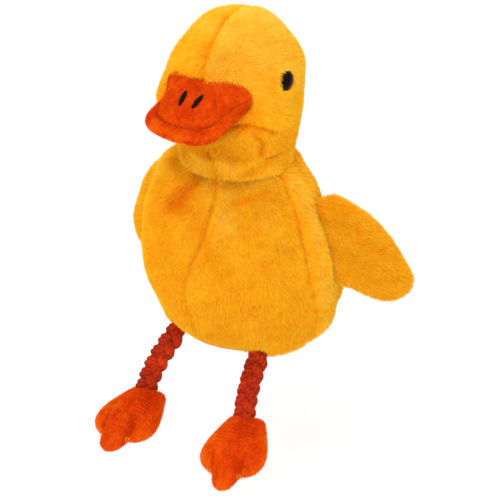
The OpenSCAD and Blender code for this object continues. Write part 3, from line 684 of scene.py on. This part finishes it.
# Head. Two halves of plush joined over the crown, cut away for the bill, with
# full cheeks. The pile runs down and back, but up beside the seam on the left of
# the crown, and is shorter at the bill.
HINGE = np.array([0, -39, 144.5])
MOUTH_SLOPE, JAW_SWING = 17, math.radians(32)
BILL_LENGTH, BILL_WIDTH, UPPER_HEIGHT, LOWER_HEIGHT = 39.5, 45, 11.5, 15
ROOT_WIDE = 1.06 * BILL_WIDTH / 2
SEAM_GAP = 0.15
UPPER_ROWS = [
    [-0.2, 1.06, 1.04], [0.055, 1.06, 1], [0.18, 0.97, 0.97], [0.33, 0.85, 0.9], [0.48, 0.785, 0.79],
    [0.61, 0.745, 0.66], [0.72, 0.655, 0.53], [0.8, 0.5, 0.43], [0.85, 0.3, 0.33], [0.875, 0.06, 0.25]]
LOWER_ROWS = [
    [-0.2, 1.06, 1], [0.055, 1.05, 1], [0.18, 0.98, 0.99], [0.4, 0.9, 0.92], [0.62, 0.93, 0.81],
    [0.785, 0.91, 0.68], [0.89, 0.81, 0.56], [0.957, 0.61, 0.44], [0.99, 0.35, 0.32], [1, 0.06, 0.18]]
UPPER_BILL = np.array(UPPER_ROWS) * (BILL_LENGTH, BILL_WIDTH / 2, UPPER_HEIGHT)
LOWER_BILL = np.array(LOWER_ROWS) * (BILL_LENGTH, BILL_WIDTH / 2, LOWER_HEIGHT)
BILL_BOW = {1: (0.74, 0.92), -1: (0.74, 0.8)}


def turned(points, x=0.0, z=0.0):
    """Points turned about X and then about Z, in degrees."""
    cx, sx, cz, sz = (f(math.radians(a)) for a in (x, z) for f in (math.cos, math.sin))
    points = points @ np.array([[1, 0, 0], [0, cx, sx], [0, -sx, cx]])
    return points @ np.array([[cz, sz, 0], [-sz, cz, 0], [0, 0, 1]])


def in_mouth(points):
    """From the mouth's own axes, y to the back and z up from its line, to the puppet's."""
    return turned(np.asarray(points, float), x=MOUTH_SLOPE) + HINGE


def to_mouth(points):
    return turned(points - HINGE, x=-MOUTH_SLOPE)


def within_bill(points, rows, up):
    """Below 1 inside a half of the bill, rising outside it."""
    q = to_mouth(points)
    wide = np.interp(-q[..., 1], rows[:, 0], rows[:, 1])
    high = np.interp(-q[..., 1], rows[:, 0], rows[:, 2])
    across, over = BILL_BOW[up]
    size = (np.abs(q[..., 0]) / wide) ** (2 / across) + np.clip(up * q[..., 2] / high, 0, 9) ** (2 / over)
    return np.where((up * q[..., 2] > -0.6) & (q[..., 1] > -BILL_LENGTH) & (q[..., 1] < 10), size, 9)


def under_jaw(points, grow):
    """True in the space that the lower bill sweeps as it opens."""
    q = to_mouth(points)
    deep = LOWER_HEIGHT + grow + 0.7
    reach, drop = -q[..., 1], q[..., 2]
    floor = (-deep * math.cos(JAW_SWING)
             - (reach + deep * math.sin(JAW_SWING) + 0.6) * math.tan(JAW_SWING))
    return (np.abs(q[..., 0]) < ROOT_WIDE + grow) & (drop < 0) & (drop > floor) & (reach > -8)


EYE_TURN, EYE_Z, EYE_HOLE, EYE_RIM = 79, 149.5, 5.0, 6.9
EYE_BACK, EYE_SUNK = 8, 2.0
CORNER_X, DIMPLE_AT, DIMPLE_R = 24, (24, -44, 138), 5.0
CROWN_Z, BRUSHED_Z, LIT_CROWN_Z = 174, 150, 134
HEAD_CUT, CHIN_CUT = 0.78, 0.9
HEAD_FOLDS = [([(17, 124.8), (32, 127.8), (41, 128.8), (50, 127.8), (59, 123.9)], 2.6),
              ([(44, 123.9), (50, 119.1), (53, 115.1), (53, 110.4)], 1.8)]
HEAD_HOLLOWS = [(-60, 163, 30, 12, 3.6), (-40, 153, 11, 5, -1.6), (120, 164, 25, 8, 0.7)]
head_ts = steps((0, 5, 56), (5, 9, 36), (9, 9.9, 6))
eye_row = np.interp(EYE_Z, along(HEAD_ROWS, np.linspace(0, 10, 200))[:, 0], np.linspace(0, 10, 200))
crown = np.vstack([head_surface([0], np.linspace(0, 9.9, 60))[0][0],
                   head_surface([180], np.linspace(9.9, 0, 60))[0][0]])


def dimples(points):
    """1 where the bill's lower corners draw the plush in, falling to 0 around them."""
    gap = np.linalg.norm(np.abs(points * (1, 0, 0)) + points * (0, 1, 1) - DIMPLE_AT, axis=-1)
    return bell(gap, DIMPLE_R)


def on_head(places):
    """Points on the head at places of turn and height."""
    rows = np.interp([z for _, z in places], along(HEAD_ROWS, head_ts)[:, 0], head_ts)
    return np.array([head_surface([turn], [t])[0][0, 0] for (turn, _), t in zip(places, rows)])


def cheek_folds(points):
    """Depth of the folds below the left cheek."""
    return sum(deep * nearness(points, on_head(line), 2.4) for line, deep in HEAD_FOLDS)


for name, node, side, seed in (
        ("head_plush_left", "head_left", 1, 15), ("head_plush_right", "head_right", -1, 16)):
    left = side > 0
    surface, turn = head_surface(np.linspace(0, 180, 100) - (0 if left else 180), head_ts)
    normals = outward(surface)
    across, height = surface[..., 0], surface[..., 2]
    eye = head_surface([EYE_TURN if left else -EYE_TURN - EYE_BACK], [eye_row])[0][0, 0]
    from_eye = np.linalg.norm(surface - eye, axis=-1)
    bill = np.minimum(within_bill(surface, UPPER_BILL, 1), within_bill(surface, LOWER_BILL, -1))
    near_bill = np.exp(-np.clip(bill - 0.9, 0, 9) * 2.2)
    corner = bell(across - CORNER_X, 8) * near_bill
    near_bill *= np.exp(-((across + 6) / 23) ** 4)
    dimple = dimples(surface)
    furrow = nearness(surface, crown, 1.8)
    folds = cheek_folds(surface) if left else 0 * turn
    depth = (BACKING + 0.9 * furrow - 0.35 * waver(surface, 26, 40) - 0.15 * waver(surface, 9, 41)
             - 0.9 * bell(from_eye - EYE_RIM, 2.2)
             + (0.8 if left else 1.5) * bell(height - CROWN_Z, 12)
             + patches(turn, height, HEAD_HOLLOWS) + folds + 1.6 * corner - 1.1 * near_bill + 4.2 * dimple)
    brushed = np.tile((0.5 * side, 0.35, -0.8), (*turn.shape, 1))
    if left:
        upward = bell(across, 17) * np.clip((height - BRUSHED_Z) / 7, 0, 1)
        brushed += upward[..., None] * ((0.25, 0.9, 0.8) - brushed)
    brushed += near_bill[..., None] * ((0, -0.9, -0.6) - brushed)
    # Tone: random unevenness, painted shade along the crown seam and in the cheek folds, painted top light
    # growing paler towards the crown, a painted highlight beside the seam on the left half, and painted shade
    # over the whole right half, which turns from the front lamp.
    tone = (0.5 + 0.05 * waver(surface, 20, 45) + 0.05 * waver(surface, 6, 46) - 0.2 * furrow - 0.2 * folds
            + 0.32 * np.clip((height - LIT_CROWN_Z) / 44, -0.6, 1))
    tone += 0.08 * bell(across, 11) if left else -0.22
    piece = sunk(name, surface, depth, CLOTH, layers={
        "comb": combed(normals, brushed + 0.2 * swaying(surface, 15, 42), 1.0),
        "pile": (np.where(from_eye < EYE_HOLE, 0, 1 - 0.25 * furrow) * (1 - 0.1 * near_bill - 0.45 * corner)
                 * (1 - 0.55 * dimple)),
        "tone": np.clip(tone, 0, 1)}, keep=(bill > HEAD_CUT) & ~under_jaw(surface, 0.3))
    grow(piece, Tufts=5.6e6, Seed=seed, **PLUSH_PILE)
    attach(piece, "head")
    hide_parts(node)

# Chin. A plush gusset under the lower bill, over the space that the bill sweeps as the mouth opens.
# It is tucked in along the bill and shares the folds of the left cheek.
surface, turn = head_surface(np.linspace(-50, 50, 70), np.linspace(0.2, 3.4, 44))
normals = outward(surface)
bill = within_bill(surface, LOWER_BILL, -1)
near_bill = np.exp(-np.clip(bill - 0.9, 0, 9) * 1.6)
folds = cheek_folds(surface)
depth = BACKING + 0.1 + 1.8 * near_bill + 3.4 * dimples(surface) + folds
# Tone: darker than the head, painted shade under the bill, with painted shade in the cheek folds and random
# unevenness.
chin = sunk("chin_plush", surface, depth, CLOTH, layers={
    "comb": combed(normals, DOWN + 0.3 * swaying(surface, 12, 50), 0.9),
    "pile": (0.85 - 0.4 * near_bill) * (1 - 0.5 * dimples(surface)),
    "tone": np.clip(0.42 + 0.1 * waver(surface, 14, 51) - 0.2 * folds, 0, 1)},
             keep=under_jaw(surface, 1.2) & (bill > CHIN_CUT))
grow(chin, Tufts=5e6, Seed=17, **PLUSH_PILE)
in_mouth([0, -8, -27]) * MM
in_mouth([0, -8, -14]) * MM
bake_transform(chin)
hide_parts("chin_gusset")


# Eyes. Domed black plastic buttons on shanks, pushed through the plush and locked
# inside with white washers. The right one sits further back and deeper in the pile.
def dress(node, material):
    """Gives a material to a CAD node that is shown as it is."""
    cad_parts[node].data.materials.clear()
    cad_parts[node].data.materials.append(material)


HEAD_AXIS = np.array([0, -16, EYE_Z])
gloss = mottled("black_eye", 250.0, (8, 3, 2), (24, 9, 5), Roughness=0.08, IOR=1.13)
plastic = mottled("white_nylon", 700.0, (214, 214, 208), (236, 236, 230), Roughness=0.5)
for side in ("left", "right"):
    dress("eye_" + side, gloss)
    dress("eye_washer_" + side, plastic)
inward = HEAD_AXIS - head_surface([-EYE_TURN - EYE_BACK], [eye_row])[0][0, 0]
inward *= EYE_SUNK / np.linalg.norm(inward)
bpy.context.view_layer.update()
for node, name, slot in (
        ("eye_right", "eye_button_right", "eye"), ("eye_washer_right", "eye_lock_right", "washer")):
    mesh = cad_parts[node].data.copy()
    mesh.transform(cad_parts[node].matrix_world)
    points = np.zeros(len(mesh.vertices) * 3, np.float32)
    mesh.vertices.foreach_get("co", points)
    points = turned(points.reshape(-1, 3) - HEAD_AXIS * MM, z=-EYE_BACK) + (HEAD_AXIS + inward) * MM
    mesh.vertices.foreach_set("co", points.astype(np.float32).ravel())
    piece = add(name, mesh)
    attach(piece, "head")
    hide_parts(node)


# Bill. Two halves of orange-red velour, padded over the fingers and thumb, with
# a soft rounded rim. The nap is short, and the upper half is darker along the
# mouth line, painted shade where the two halves meet.
def bill_surface(rows, up, turns, ts):
    turn, t = grid(np.radians(turns), ts)
    row = along(rows[1:], t)
    across, over = BILL_BOW[up]
    bow = np.sign(np.sin(turn)) * np.abs(np.sin(turn)) ** across
    rise = np.abs(np.cos(turn)) ** over
    return np.stack([-up * row[..., 1] * bow, -row[..., 0], up * (SEAM_GAP + row[..., 2] * rise)], -1)


VELOUR = pile_material(
    "orange_velour", [(192, 40, 0), (216, 62, 0), (230, 84, 0)],
    [(224, 66, 0), (240, 98, 0), (248, 140, 16)], (255, 120, 20), 0.04)
NAP = dict(Length=1.25 * MM, Width=0.3 * MM, Stray=0.5, Mottle=0.2, Cloth=VELOUR)
VELOUR_THICK, NAP_DEPTH, RIM_HIGH = 0.6, 0.75, 5
LIP_TO, LIP_SHARE = np.array([0, -14, 0.15]), np.array([0.22, 0.22, 0])
bill_turns = steps((-90, -70, 14), (-70, 70, 50), (70, 90, 14))
bill_ts = steps((0, 6, 60), (6, 9, 44))
forward = in_mouth([0, -1, 0]) - HINGE
for name, nodes, rows, up, skew, body, fill, seed in (
        ("upper_bill", ("upper_beak_cover", "upper_beak_padding"), UPPER_BILL, 1, 0.4, "head", 0.5, 21),
        ("lower_bill", ("lower_beak_cover", "lower_beak_padding"), LOWER_BILL, -1, 1.1, "jaw", 0.45, 22)):
    surface = bill_surface(np.vstack([rows, [rows[-1, 0] + 0.3, 0.05, 0.05]]), up, bill_turns, bill_ts)
    surface[..., 0] -= skew * (surface[..., 1] / BILL_LENGTH) ** 2
    if up < 0:
        inward = np.linspace(0.1, 1, 9)
        lips = [surface[i] + inward[:, None, None] * (LIP_TO - surface[i]) * LIP_SHARE for i in (0, -1)]
        for lip in lips:
            lip[..., 2] += (1.1 * np.sin(inward * 3.3))[:, None]
        surface = np.concatenate([lips[0][::-1], surface, lips[1]])
    normals = outward(surface)
    edge = np.clip(np.abs(surface[..., 2]) / RIM_HIGH, 0, 1) ** 0.8
    rumple = 0.35 * waver(surface, 15, 60 + seed) + 0.12 * waver(surface, 5, 61 + seed)
    points = in_mouth(surface - (edge * (NAP_DEPTH - rumple))[..., None] * normals)
    normals = in_mouth(normals) - HINGE
    tone = 0.54 + 0.1 * (up < 0) + 0.14 * waver(points, 14, 65) + 0.08 * waver(points, 4, 66)
    # Painted shade along the upper half's edge at the mouth line.
    if up > 0:
        tone -= 0.3 * bell(surface[..., 2], 1.3)
    piece = shell(name, points, normals, VELOUR_THICK, {
        "comb": combed(normals, forward + 0.6 * swaying(points, 9, 62), 0.7),
        "pile": np.ones(points.shape[:2]), "tone": np.clip(tone, 0, 1)})
    grow(piece, Tufts=8e6, Seed=seed, **NAP)
    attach(piece, body)
    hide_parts(*nodes)


# Nostrils. Two short bars of black satin stitch, sewn through the upper bill,
# the left one a little askew.
def unit(v):
    return v / np.linalg.norm(v, axis=-1, keepdims=True)


ink = mottled("black_thread", 1800.0, (10, 3, 2), (44, 12, 6), Roughness=0.8, Specular_IOR_Level=0.1)
NOSTRIL_TURN, NOSTRIL_ROW, NOSTRIL_LONG, NOSTRIL_WIDE = 8.6, 3.45, 8.5, 2.2
NOSTRIL_STITCHES, NOSTRIL_YARN = 21, 0.27
for name, node, turn, lean in (("nostril_stitch_left", "nostril_left", -NOSTRIL_TURN, -0.2),
                               ("nostril_stitch_right", "nostril_right", NOSTRIL_TURN, 0.0)):
    spot, ahead, across = (bill_surface(UPPER_BILL, 1, [turn + a], [NOSTRIL_ROW + t])[0, 0]
                           for a, t in ((0, 0), (0, 0.1), (-2, 0)))
    ahead, across = unit(ahead - spot), unit(across - spot)
    over = np.cross(across, ahead)
    over *= np.sign(over[2])
    ahead, across = (ahead * math.cos(lean) + across * math.sin(lean),
                     across * math.cos(lean) - ahead * math.sin(lean))
    bend = np.linspace(0, math.pi, 9)[:, None]
    stitches = []
    for share in np.linspace(-0.5, 0.5, NOSTRIL_STITCHES):
        half = 0.15 + NOSTRIL_WIDE / 2 * (1 - (2 * share) ** 2) ** 0.8
        middle = spot + ahead * share * NOSTRIL_LONG + over * 0.15
        stitches.append(in_mouth(
            middle - np.cos(bend) * across * half + np.sin(bend) * over * 0.75 - over * 0.3))
    piece = tubes(name, stitches, NOSTRIL_YARN, ink)
    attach(piece, "head")
    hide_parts(node)


# Mouth. Two stiff boards, faced with red felt and joined by a soft fold at the
# back, which is the hinge that the hand works.
felt, felt_shader, felt_place = new_material("red_felt", Roughness=0.95, Specular_IOR_Level=0.1)
fibres, worn = noise(felt_place, 900.0, 5.0), noise(felt_place, 80.0)
feed(felt_shader, "Base Color", (fibres * 0.6 + worn * 0.4).mixed(linear(140, 20, 8), linear(206, 48, 22)))
bump(felt_shader, fibres, 0.0004)
MOUTH_INSET, FELT_BACK, FELT_THICK = 2.6, 1.5, 0.9
UPPER_FRONT, LOWER_FRONT = 0.875 * BILL_LENGTH - MOUTH_INSET, BILL_LENGTH - 5
for name, node, high, body, rows, front, size, plate in (
        ("palate_felt", "palate_cloth", 1.1, "head", UPPER_BILL, UPPER_FRONT, (0.041, 0.031),
         "upper_mouth_plate"),
        ("mouth_floor_felt", "mouth_floor_cloth", -0.2, "jaw", LOWER_BILL, LOWER_FRONT, (0.041, 0.033),
         "lower_mouth_plate")):
    reach = np.linspace(FELT_BACK, front, 60)
    wide = np.maximum(np.interp(reach + MOUTH_INSET * 0.5, rows[:, 0], rows[:, 1]) - MOUTH_INSET, 0.5)
    wide = np.minimum(wide, 2 + 3.2 * np.sqrt(np.maximum(front + 0.6 - reach, 0) * 12))
    share, far = grid(np.linspace(-1, 1, 50), reach)
    ripple = 0.05 * waver(np.stack([share * 20, far, 0 * far], -1), 8, 70)
    top = np.stack([share * wide, -far, high + ripple], -1)
    normals = np.broadcast_to(in_mouth([0, 0, 1]) - HINGE, top.shape)
    piece = shell(name, in_mouth(top), normals, FELT_THICK, material=felt)
    face_out(piece.data)
    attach(piece, body)
    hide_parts(node)

FOLD_HALF, FOLD_THICK = 19.5, 0.5
turn, across = grid(np.radians(np.linspace(100, 260, 17)), np.linspace(-FOLD_HALF, FOLD_HALF, 60))
roll = 1.15 + 0.12 * waver(np.stack([across, turn, turn], -1), 7, 75)
surface = in_mouth(np.stack([across, 0.1 - roll * np.cos(turn) * 0.9, roll * np.sin(turn)], -1))
mouth_fold = shell("mouth_fold_felt", surface, -outward(surface), FOLD_THICK, material=felt)
face_out(mouth_fold.data)
in_mouth([0, 0, 0.9]) * MM
in_mouth([0, 0, -0.9]) * MM
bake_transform(mouth_fold)
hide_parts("mouth_fold")

board = mottled("grey_board", 300.0, (150, 138, 118), (186, 174, 152), detail=6.0, relief=0.0002,
                Roughness=0.85)
dress("upper_mouth_plate", board)
dress("lower_mouth_plate", board)


# Wings. Two-sided plush cushions, lightly stuffed, sewn by their straight edge
# into the side of the body with overcast stitches, so that they flap.
def loop(points, per):
    """A smooth closed line through points."""
    points = np.asarray(points, float)
    t = np.arange(len(points) * per) / per
    i = t.astype(int)
    p, q = points[i], points[(i + 1) % len(points)]
    m, k = (q - points[i - 1]) / 2, (points[(i + 2) % len(points)] - p) / 2
    return hermite(p, q, m, k, (t - i)[:, None])


def swell(s):
    return (1 - np.clip(s, 0, 1) ** 2.4) ** 0.55


def cushion(name, line, middle, top, bottom, rings):
    """A closed cushion inside a flat line, with rings of points on each face. top and bottom give the
    height at a point and its share of the way out. Returns the piece, its points and their shares."""
    shares = np.sin(np.linspace(0, math.pi / 2, rings)) ** 0.9
    points, out = [], []
    for face, order in ((top, shares[1:]), (bottom, shares[::-1][1:-1])):
        for s in order:
            flat = middle + s * (line - middle)
            points.append(np.column_stack([flat, face(flat, s)]))
            out.append(np.full(len(line), s))
    n, rows = len(line), len(points)
    points = np.vstack([*points, *([[*middle, float(face(middle[None], 0.0)[0])]] for face in (top, bottom))])
    out = np.append(np.concatenate(out), [0, 0])
    faces = []
    for i in range(n):
        j = (i + 1) % n
        faces.append((rows * n, i, j))
        faces.extend((r * n + i, (r + 1) * n + i, (r + 1) * n + j, r * n + j) for r in range(rows - 1))
        faces.append((rows * n + 1, (rows - 1) * n + j, (rows - 1) * n + i))
    mesh = bpy.data.meshes.new(name)
    mesh.from_pydata(points.tolist(), [], faces)
    return add(name, mesh), points, out


def settle(piece, points):
    """Moves a piece to points in millimetres, faces it outwards and returns its normals."""
    piece.data.vertices.foreach_set("co", (points * MM).astype(np.float32).ravel())
    face_out(piece.data)
    piece.data.shade_smooth()
    normals = np.zeros(len(points) * 3, np.float32)
    piece.data.vertex_normals.foreach_get("vector", normals)
    return normals.reshape(-1, 3).astype(float)


PUFF_STEPS = 20


def puffed(piece, points, held, push, most):
    """Blows a cushion up as cloth, some of its points held, and returns its points, none moved further
    than most."""
    settle(piece, points)
    seam = piece.vertex_groups.new(name="seam")
    seam.add(np.flatnonzero(held).tolist(), 1.0, "REPLACE")
    cloth = piece.modifiers.new("cloth", "CLOTH")
    cloth.settings.use_pressure = True
    cloth.settings.uniform_pressure_force = push
    cloth.settings.vertex_group_mass = seam.name
    cloth.settings.effector_weights.gravity = 0
    cloth.point_cache.frame_start, cloth.point_cache.frame_end = 1, PUFF_STEPS
    for step in range(1, PUFF_STEPS + 1):
        scene.frame_set(step)
    ready = piece.evaluated_get(bpy.context.evaluated_depsgraph_get())
    blown = np.zeros(len(points) * 3, np.float32)
    ready.data.vertices.foreach_get("co", blown)
    piece.modifiers.remove(cloth)
    piece.vertex_groups.clear()
    scene.frame_set(1)
    moved = blown.reshape(-1, 3) / MM - points
    far = np.linalg.norm(moved, axis=1, keepdims=True)
    return points + moved * np.minimum(1, most / np.maximum(far, 1e-9))


# The golden plush made a little darker for the wings: painted shade.
WING_PLUSH = pile_material(
    "shaded_wing_plush", [(228, 104, 0), (242, 151, 0), (244, 178, 10)],
    [(236, 134, 0), (244, 187, 22), (246, 214, 80)], (255, 196, 60), 0.1)
WING_PILE = dict(Length=2.6 * MM, Width=0.5 * MM, Stray=0.45, Mottle=0.1, Cloth=WING_PLUSH)
WING_LONG, WING_HIGH, WING_THICK, WING_EDGE, WING_PUSH, WING_MOST = 33, 57, 11, 1.4, 16, 3
WING_TUCK, WING_SHRINK = 4.8, 0.965
WING_STITCHES, COIL_R, COIL_RUN, WING_THREAD_R = 15, 0.9, 0.45, 0.22
WING_SHAPE = [[0, 0.46], [0.16, 0.505], [0.42, 0.35], [0.62, 0.2], [0.79, 0], [0.89, -0.19], [0.985, -0.39],
              [0.985, -0.51], [0.86, -0.605], [0.58, -0.63], [0.28, -0.53], [0.08, -0.4], [0, -0.3], [0, 0.05]]
WING_MIDDLE = np.array([0.48 * WING_LONG, -0.11 * WING_HIGH])
WING_AT = np.array([48.33, -1.549, 52.398])
WING_OUT = np.array([0.752, 0.618, 0.227])
WING_AXIS = np.array([-0.196, -0.119, 0.973])
WING_TURN = np.array([WING_OUT, WING_AXIS, -np.cross(WING_AXIS, WING_OUT)])
wing_line = loop(np.array(WING_SHAPE) * (WING_LONG, WING_HIGH) + (WING_EDGE, 0), 8)
wing_line[:, 0] = np.maximum(wing_line[:, 0], WING_EDGE)
root = np.clip((wing_line[:, 0] - WING_EDGE) / 6, 0, 1)
wing_line[:, 0] -= WING_TUCK * (1 - root) ** 2
wing_line = WING_MIDDLE + (wing_line - WING_MIDDLE) * WING_SHRINK


def wing_top(p, s):
    return 0.1 + (WING_THICK / 2 - 2.3) * swell(s) * np.ones(len(p))


for side, sign, seed in (("left", 1, 31), ("right", -1, 32)):
    piece, points, out = cushion("wing_plush_" + side, wing_line, WING_MIDDLE + (WING_EDGE, 0), wing_top,
                                 lambda p, s: -wing_top(p, s), rings=20)
    points = puffed(piece, points, out > 0.995, WING_PUSH, WING_MOST)
    soft = 0.5 * waver(points, 18, 80 + seed) + 0.2 * waver(points, 7, 81 + seed)
    points[:, 2] += soft * (1 - out ** 4)
    flip = np.array([sign, 1, 1])
    placed = (points @ WING_TURN + WING_AT) * flip
    normals = settle(piece, placed)
    outwards = (np.array([0.9, -0.45, 0]) @ WING_TURN) * flip
    # Tone: random unevenness, with a painted highlight round the rim.
    tone = 0.48 + 0.06 * waver(placed, 17, 85) + 0.05 * waver(placed, 5, 86) + 0.1 * out ** 6
    paint(piece.data, comb=combed(normals, outwards + 0.25 * swaying(placed, 13, 82), 1.1),
          pile=1 - 0.15 * out ** 6, tone=np.clip(tone, 0, 1))
    grow(piece, Tufts=5.5e6, Seed=seed, **WING_PILE)
    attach(piece, "wing_" + side)
    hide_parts(*("wing_%s_%s" % (side, part) for part in ("front", "back", "padding")))
    stitches = []
    bend = np.linspace(-2.2, 2.2, 13)
    for along_root in np.linspace(-0.29, 0.29, WING_STITCHES) * WING_HIGH:
        coil = np.column_stack([0.3 + COIL_R * np.cos(bend), along_root + bend * COIL_RUN,
                                COIL_R * np.sin(bend)])
        stitches.append((coil @ WING_TURN + WING_AT) * flip)
    piece = tubes("wing_seam_" + side, stitches, WING_THREAD_R, thread)
    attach(piece, "wing_" + side)
    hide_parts("wing_%s_root" % side)


# Legs. Lengths of plaited red-orange cotton cord, three strands of four yarns,
# drawn in where they enter the body at the hip and sewn into the heel of the foot.
cord, cord_shader, cord_place = new_material("red_cotton_cord", Roughness=0.85, Specular_IOR_Level=0.15)
# The fine yarn noise darkens the cord where its bump sinks, painted shade in the grooves; the coarser dye
# noise varies its colour.
yarn, dye = noise(cord_place, 700.0, 4.0), noise(cord_place, 120.0)
feed(cord_shader, "Base Color",
     ((yarn * 0.55 + dye * 0.45) * 2.2 - 0.6).clamped().mixed(linear(98, 8, 0), linear(202, 52, 6)))
bump(cord_shader, yarn, 0.0005)
PLAIT, PLAIT_WIDE, PLAIT_DEEP, YARN, YARN_TURN = 19.2, 3.15, 1.5, 1.3, 8.5
IN_BODY, IN_HEEL, DRAWN_OVER = 8.5, 1.5, 5
HIPS = {"left": np.array([23.084, -35.653, -3.694]), "right": np.array([-28.37, -31.602, -3.683])}
ANKLES = {"left": np.array([27.12, -53.334, -26.324]), "right": np.array([-36.363, -41.136, -29.878])}
for side, bow in (("left", -1.6), ("right", -2.6)):
    length = np.linalg.norm(ANKLES[side] - HIPS[side])
    down = unit(ANKLES[side] - HIPS[side])
    across = unit(np.cross(np.array([0, -1.0, 0.2]), down))
    through = np.cross(down, across)
    far = np.linspace(-IN_BODY, length + IN_HEEL, 80)
    sag = bow * np.sin(np.clip((far + 3) / (length + 10), 0, 1) * math.pi)[:, None] * (0.866, 0.5, 0)
    drawn = np.clip((far + IN_BODY) / DRAWN_OVER, 0, 1)[:, None] * 0.4 + 0.6
    lines = []
    for strand in range(3):
        phase = 2 * math.pi * (far / PLAIT + strand / 3)[:, None]
        centre = HIPS[side] + far[:, None] * down + sag + drawn * (
            PLAIT_WIDE * np.sin(phase) * across + PLAIT_DEEP * np.sin(2 * phase) * through)
        run = unit(np.gradient(centre, axis=0))
        one = unit(np.cross(run, through))
        two = np.cross(run, one)
        for k in range(4):
            twist = 2 * math.pi * (far / YARN_TURN + k / 4)[:, None]
            lines.append(centre + drawn * 1.15 * YARN * (np.cos(twist) * one + np.sin(twist) * two))
    piece = tubes("leg_cord_" + side, lines, YARN, cord, sides=9)
    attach(piece, "leg_" + side)
    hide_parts("leg_" + side)


# Feet. Stuffed mittens of the bill's velour, drawn in between three toes by
# pulled threads, with the cloth ribbed where it is gathered at the ankle.
FOOT_WIDE, FOOT_LONG, FOOT_THICK, FOOT_BASE, FOOT_SHRINK, TOE_OUT = 34, 42, 13, 0.5, 0.97, 6
FOOT_SHAPE = [[0, -0.05], [0.32, -0.055], [0.52, -0.02], [0.69, 0.11], [0.88, 0.28], [1, 0.44], [0.99, 0.565],
              [0.87, 0.66], [0.65, 0.73], [0.44, 0.765], [0.35, 0.84], [0.27, 0.91], [0.14, 0.96], [0, 0.975]]
FOOT_SLANT = {"left": 37, "right": 26}
RIB, RIBBED_TO, RIDGE_WIDE, TOE_THREAD_R = 1.9, 20, 2.2, 0.15
half_line = np.array(FOOT_SHAPE) * (FOOT_WIDE / 2, FOOT_LONG)
foot_line = loop(np.vstack([half_line, (half_line * (-1, 1))[-2:0:-1]]), 10)
foot_middle = np.array([0, 0.45 * FOOT_LONG])


def toes(p):
    """Height left at points of the foot by the creases between its toes."""
    reach = np.clip((p[:, 1] / FOOT_LONG - 0.42) / 0.25, 0, 1)
    return 1 - 0.5 * reach * bell(np.abs(p[:, 0]) - 0.22 * FOOT_WIDE, 2.2)


def footward(points, side, sign):
    """From the foot's own axes, y to the toes and z up, to the way it hangs."""
    return turned(points, x=-FOOT_SLANT[side], z=180 + TOE_OUT) * (sign, 1, 1)


for side, sign, seed in (("left", 1, 41), ("right", -1, 42)):
    piece, points, out = cushion(
        "foot_velour_" + side, foot_middle + (foot_line - foot_middle) * FOOT_SHRINK, foot_middle,
        lambda p, s: 0.1 + (0.58 * FOOT_THICK - 0.7) * swell(s) * toes(p),
        lambda p, s: -0.1 - (0.42 * FOOT_THICK - 0.7) * swell(s) * toes(p), rings=40)
    upper = points[:, 2] > 0
    ribs = np.sin(points[:, 1] * 2 * math.pi / RIB) * np.clip((RIBBED_TO - points[:, 1]) / 8, 0, 1) * upper
    beyond = sign * points[:, 0] - (1.5 + 0.17 * points[:, 1])
    ridge = bell(beyond, RIDGE_WIDE) * np.clip(points[:, 1] / 8, 0, 1) * upper
    soft = 0.45 * waver(points, 13, 90 + seed) + 0.15 * waver(points, 4.5, 91 + seed)
    points[:, 2] += (soft + 0.25 * ribs + 0.9 * ridge) * (1 - out ** 4)
    points[:, 0] -= sign * 1.3 * (1 - points[:, 1] / FOOT_LONG)
    placed = footward(points - (0, 0, FOOT_BASE), side, sign) + ANKLES[side]
    normals = settle(piece, placed)
    toeward = footward(np.array([0, 1.0, 0]), side, sign)
    # Tone: random unevenness, a painted highlight round the rim, painted shade in the creases between the toes
    # and in the hollows of the ankle ribs, darker towards the ankle end, and painted light over the part
    # beyond the ridge, which on both feet faces -X.
    tone = (0.5 + 0.1 * waver(placed, 12, 95) + 0.08 * waver(placed, 4, 96) + 0.35 * out ** 5
            - 0.9 * (1 - toes(points)) - 0.25 * bell(points[:, 1], 9) + 0.16 * ribs
            + 0.32 / (1 + np.exp(-beyond / 0.8)))
    paint(piece.data, comb=combed(normals, toeward + 0.6 * swaying(placed, 8, 92), 0.7),
          pile=0.85 + 0.15 * out, tone=np.clip(tone, 0, 1))
    grow(piece, Tufts=7.5e6, Seed=seed, **NAP)
    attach(piece, "foot_" + side)
    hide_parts(*("foot_%s_%s" % (side, part) for part in ("top", "sole", "stuffing")))
    bend = np.linspace(-2.1, 2.1, 11)
    stitches = []
    for notch in (-1, 1):
        for across in (-0.7, 0.8):
            line = np.column_stack([notch * (0.235 * FOOT_WIDE + across) + 0.25 * bend,
                                    0.745 * FOOT_LONG + 1.2 * np.cos(bend), 2.0 * np.sin(bend)])
            stitches.append(footward(line - (0, 0, FOOT_BASE), side, sign) + ANKLES[side])
    piece = tubes("toe_threads_" + side, stitches, TOE_THREAD_R, thread)
    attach(piece, "foot_" + side)
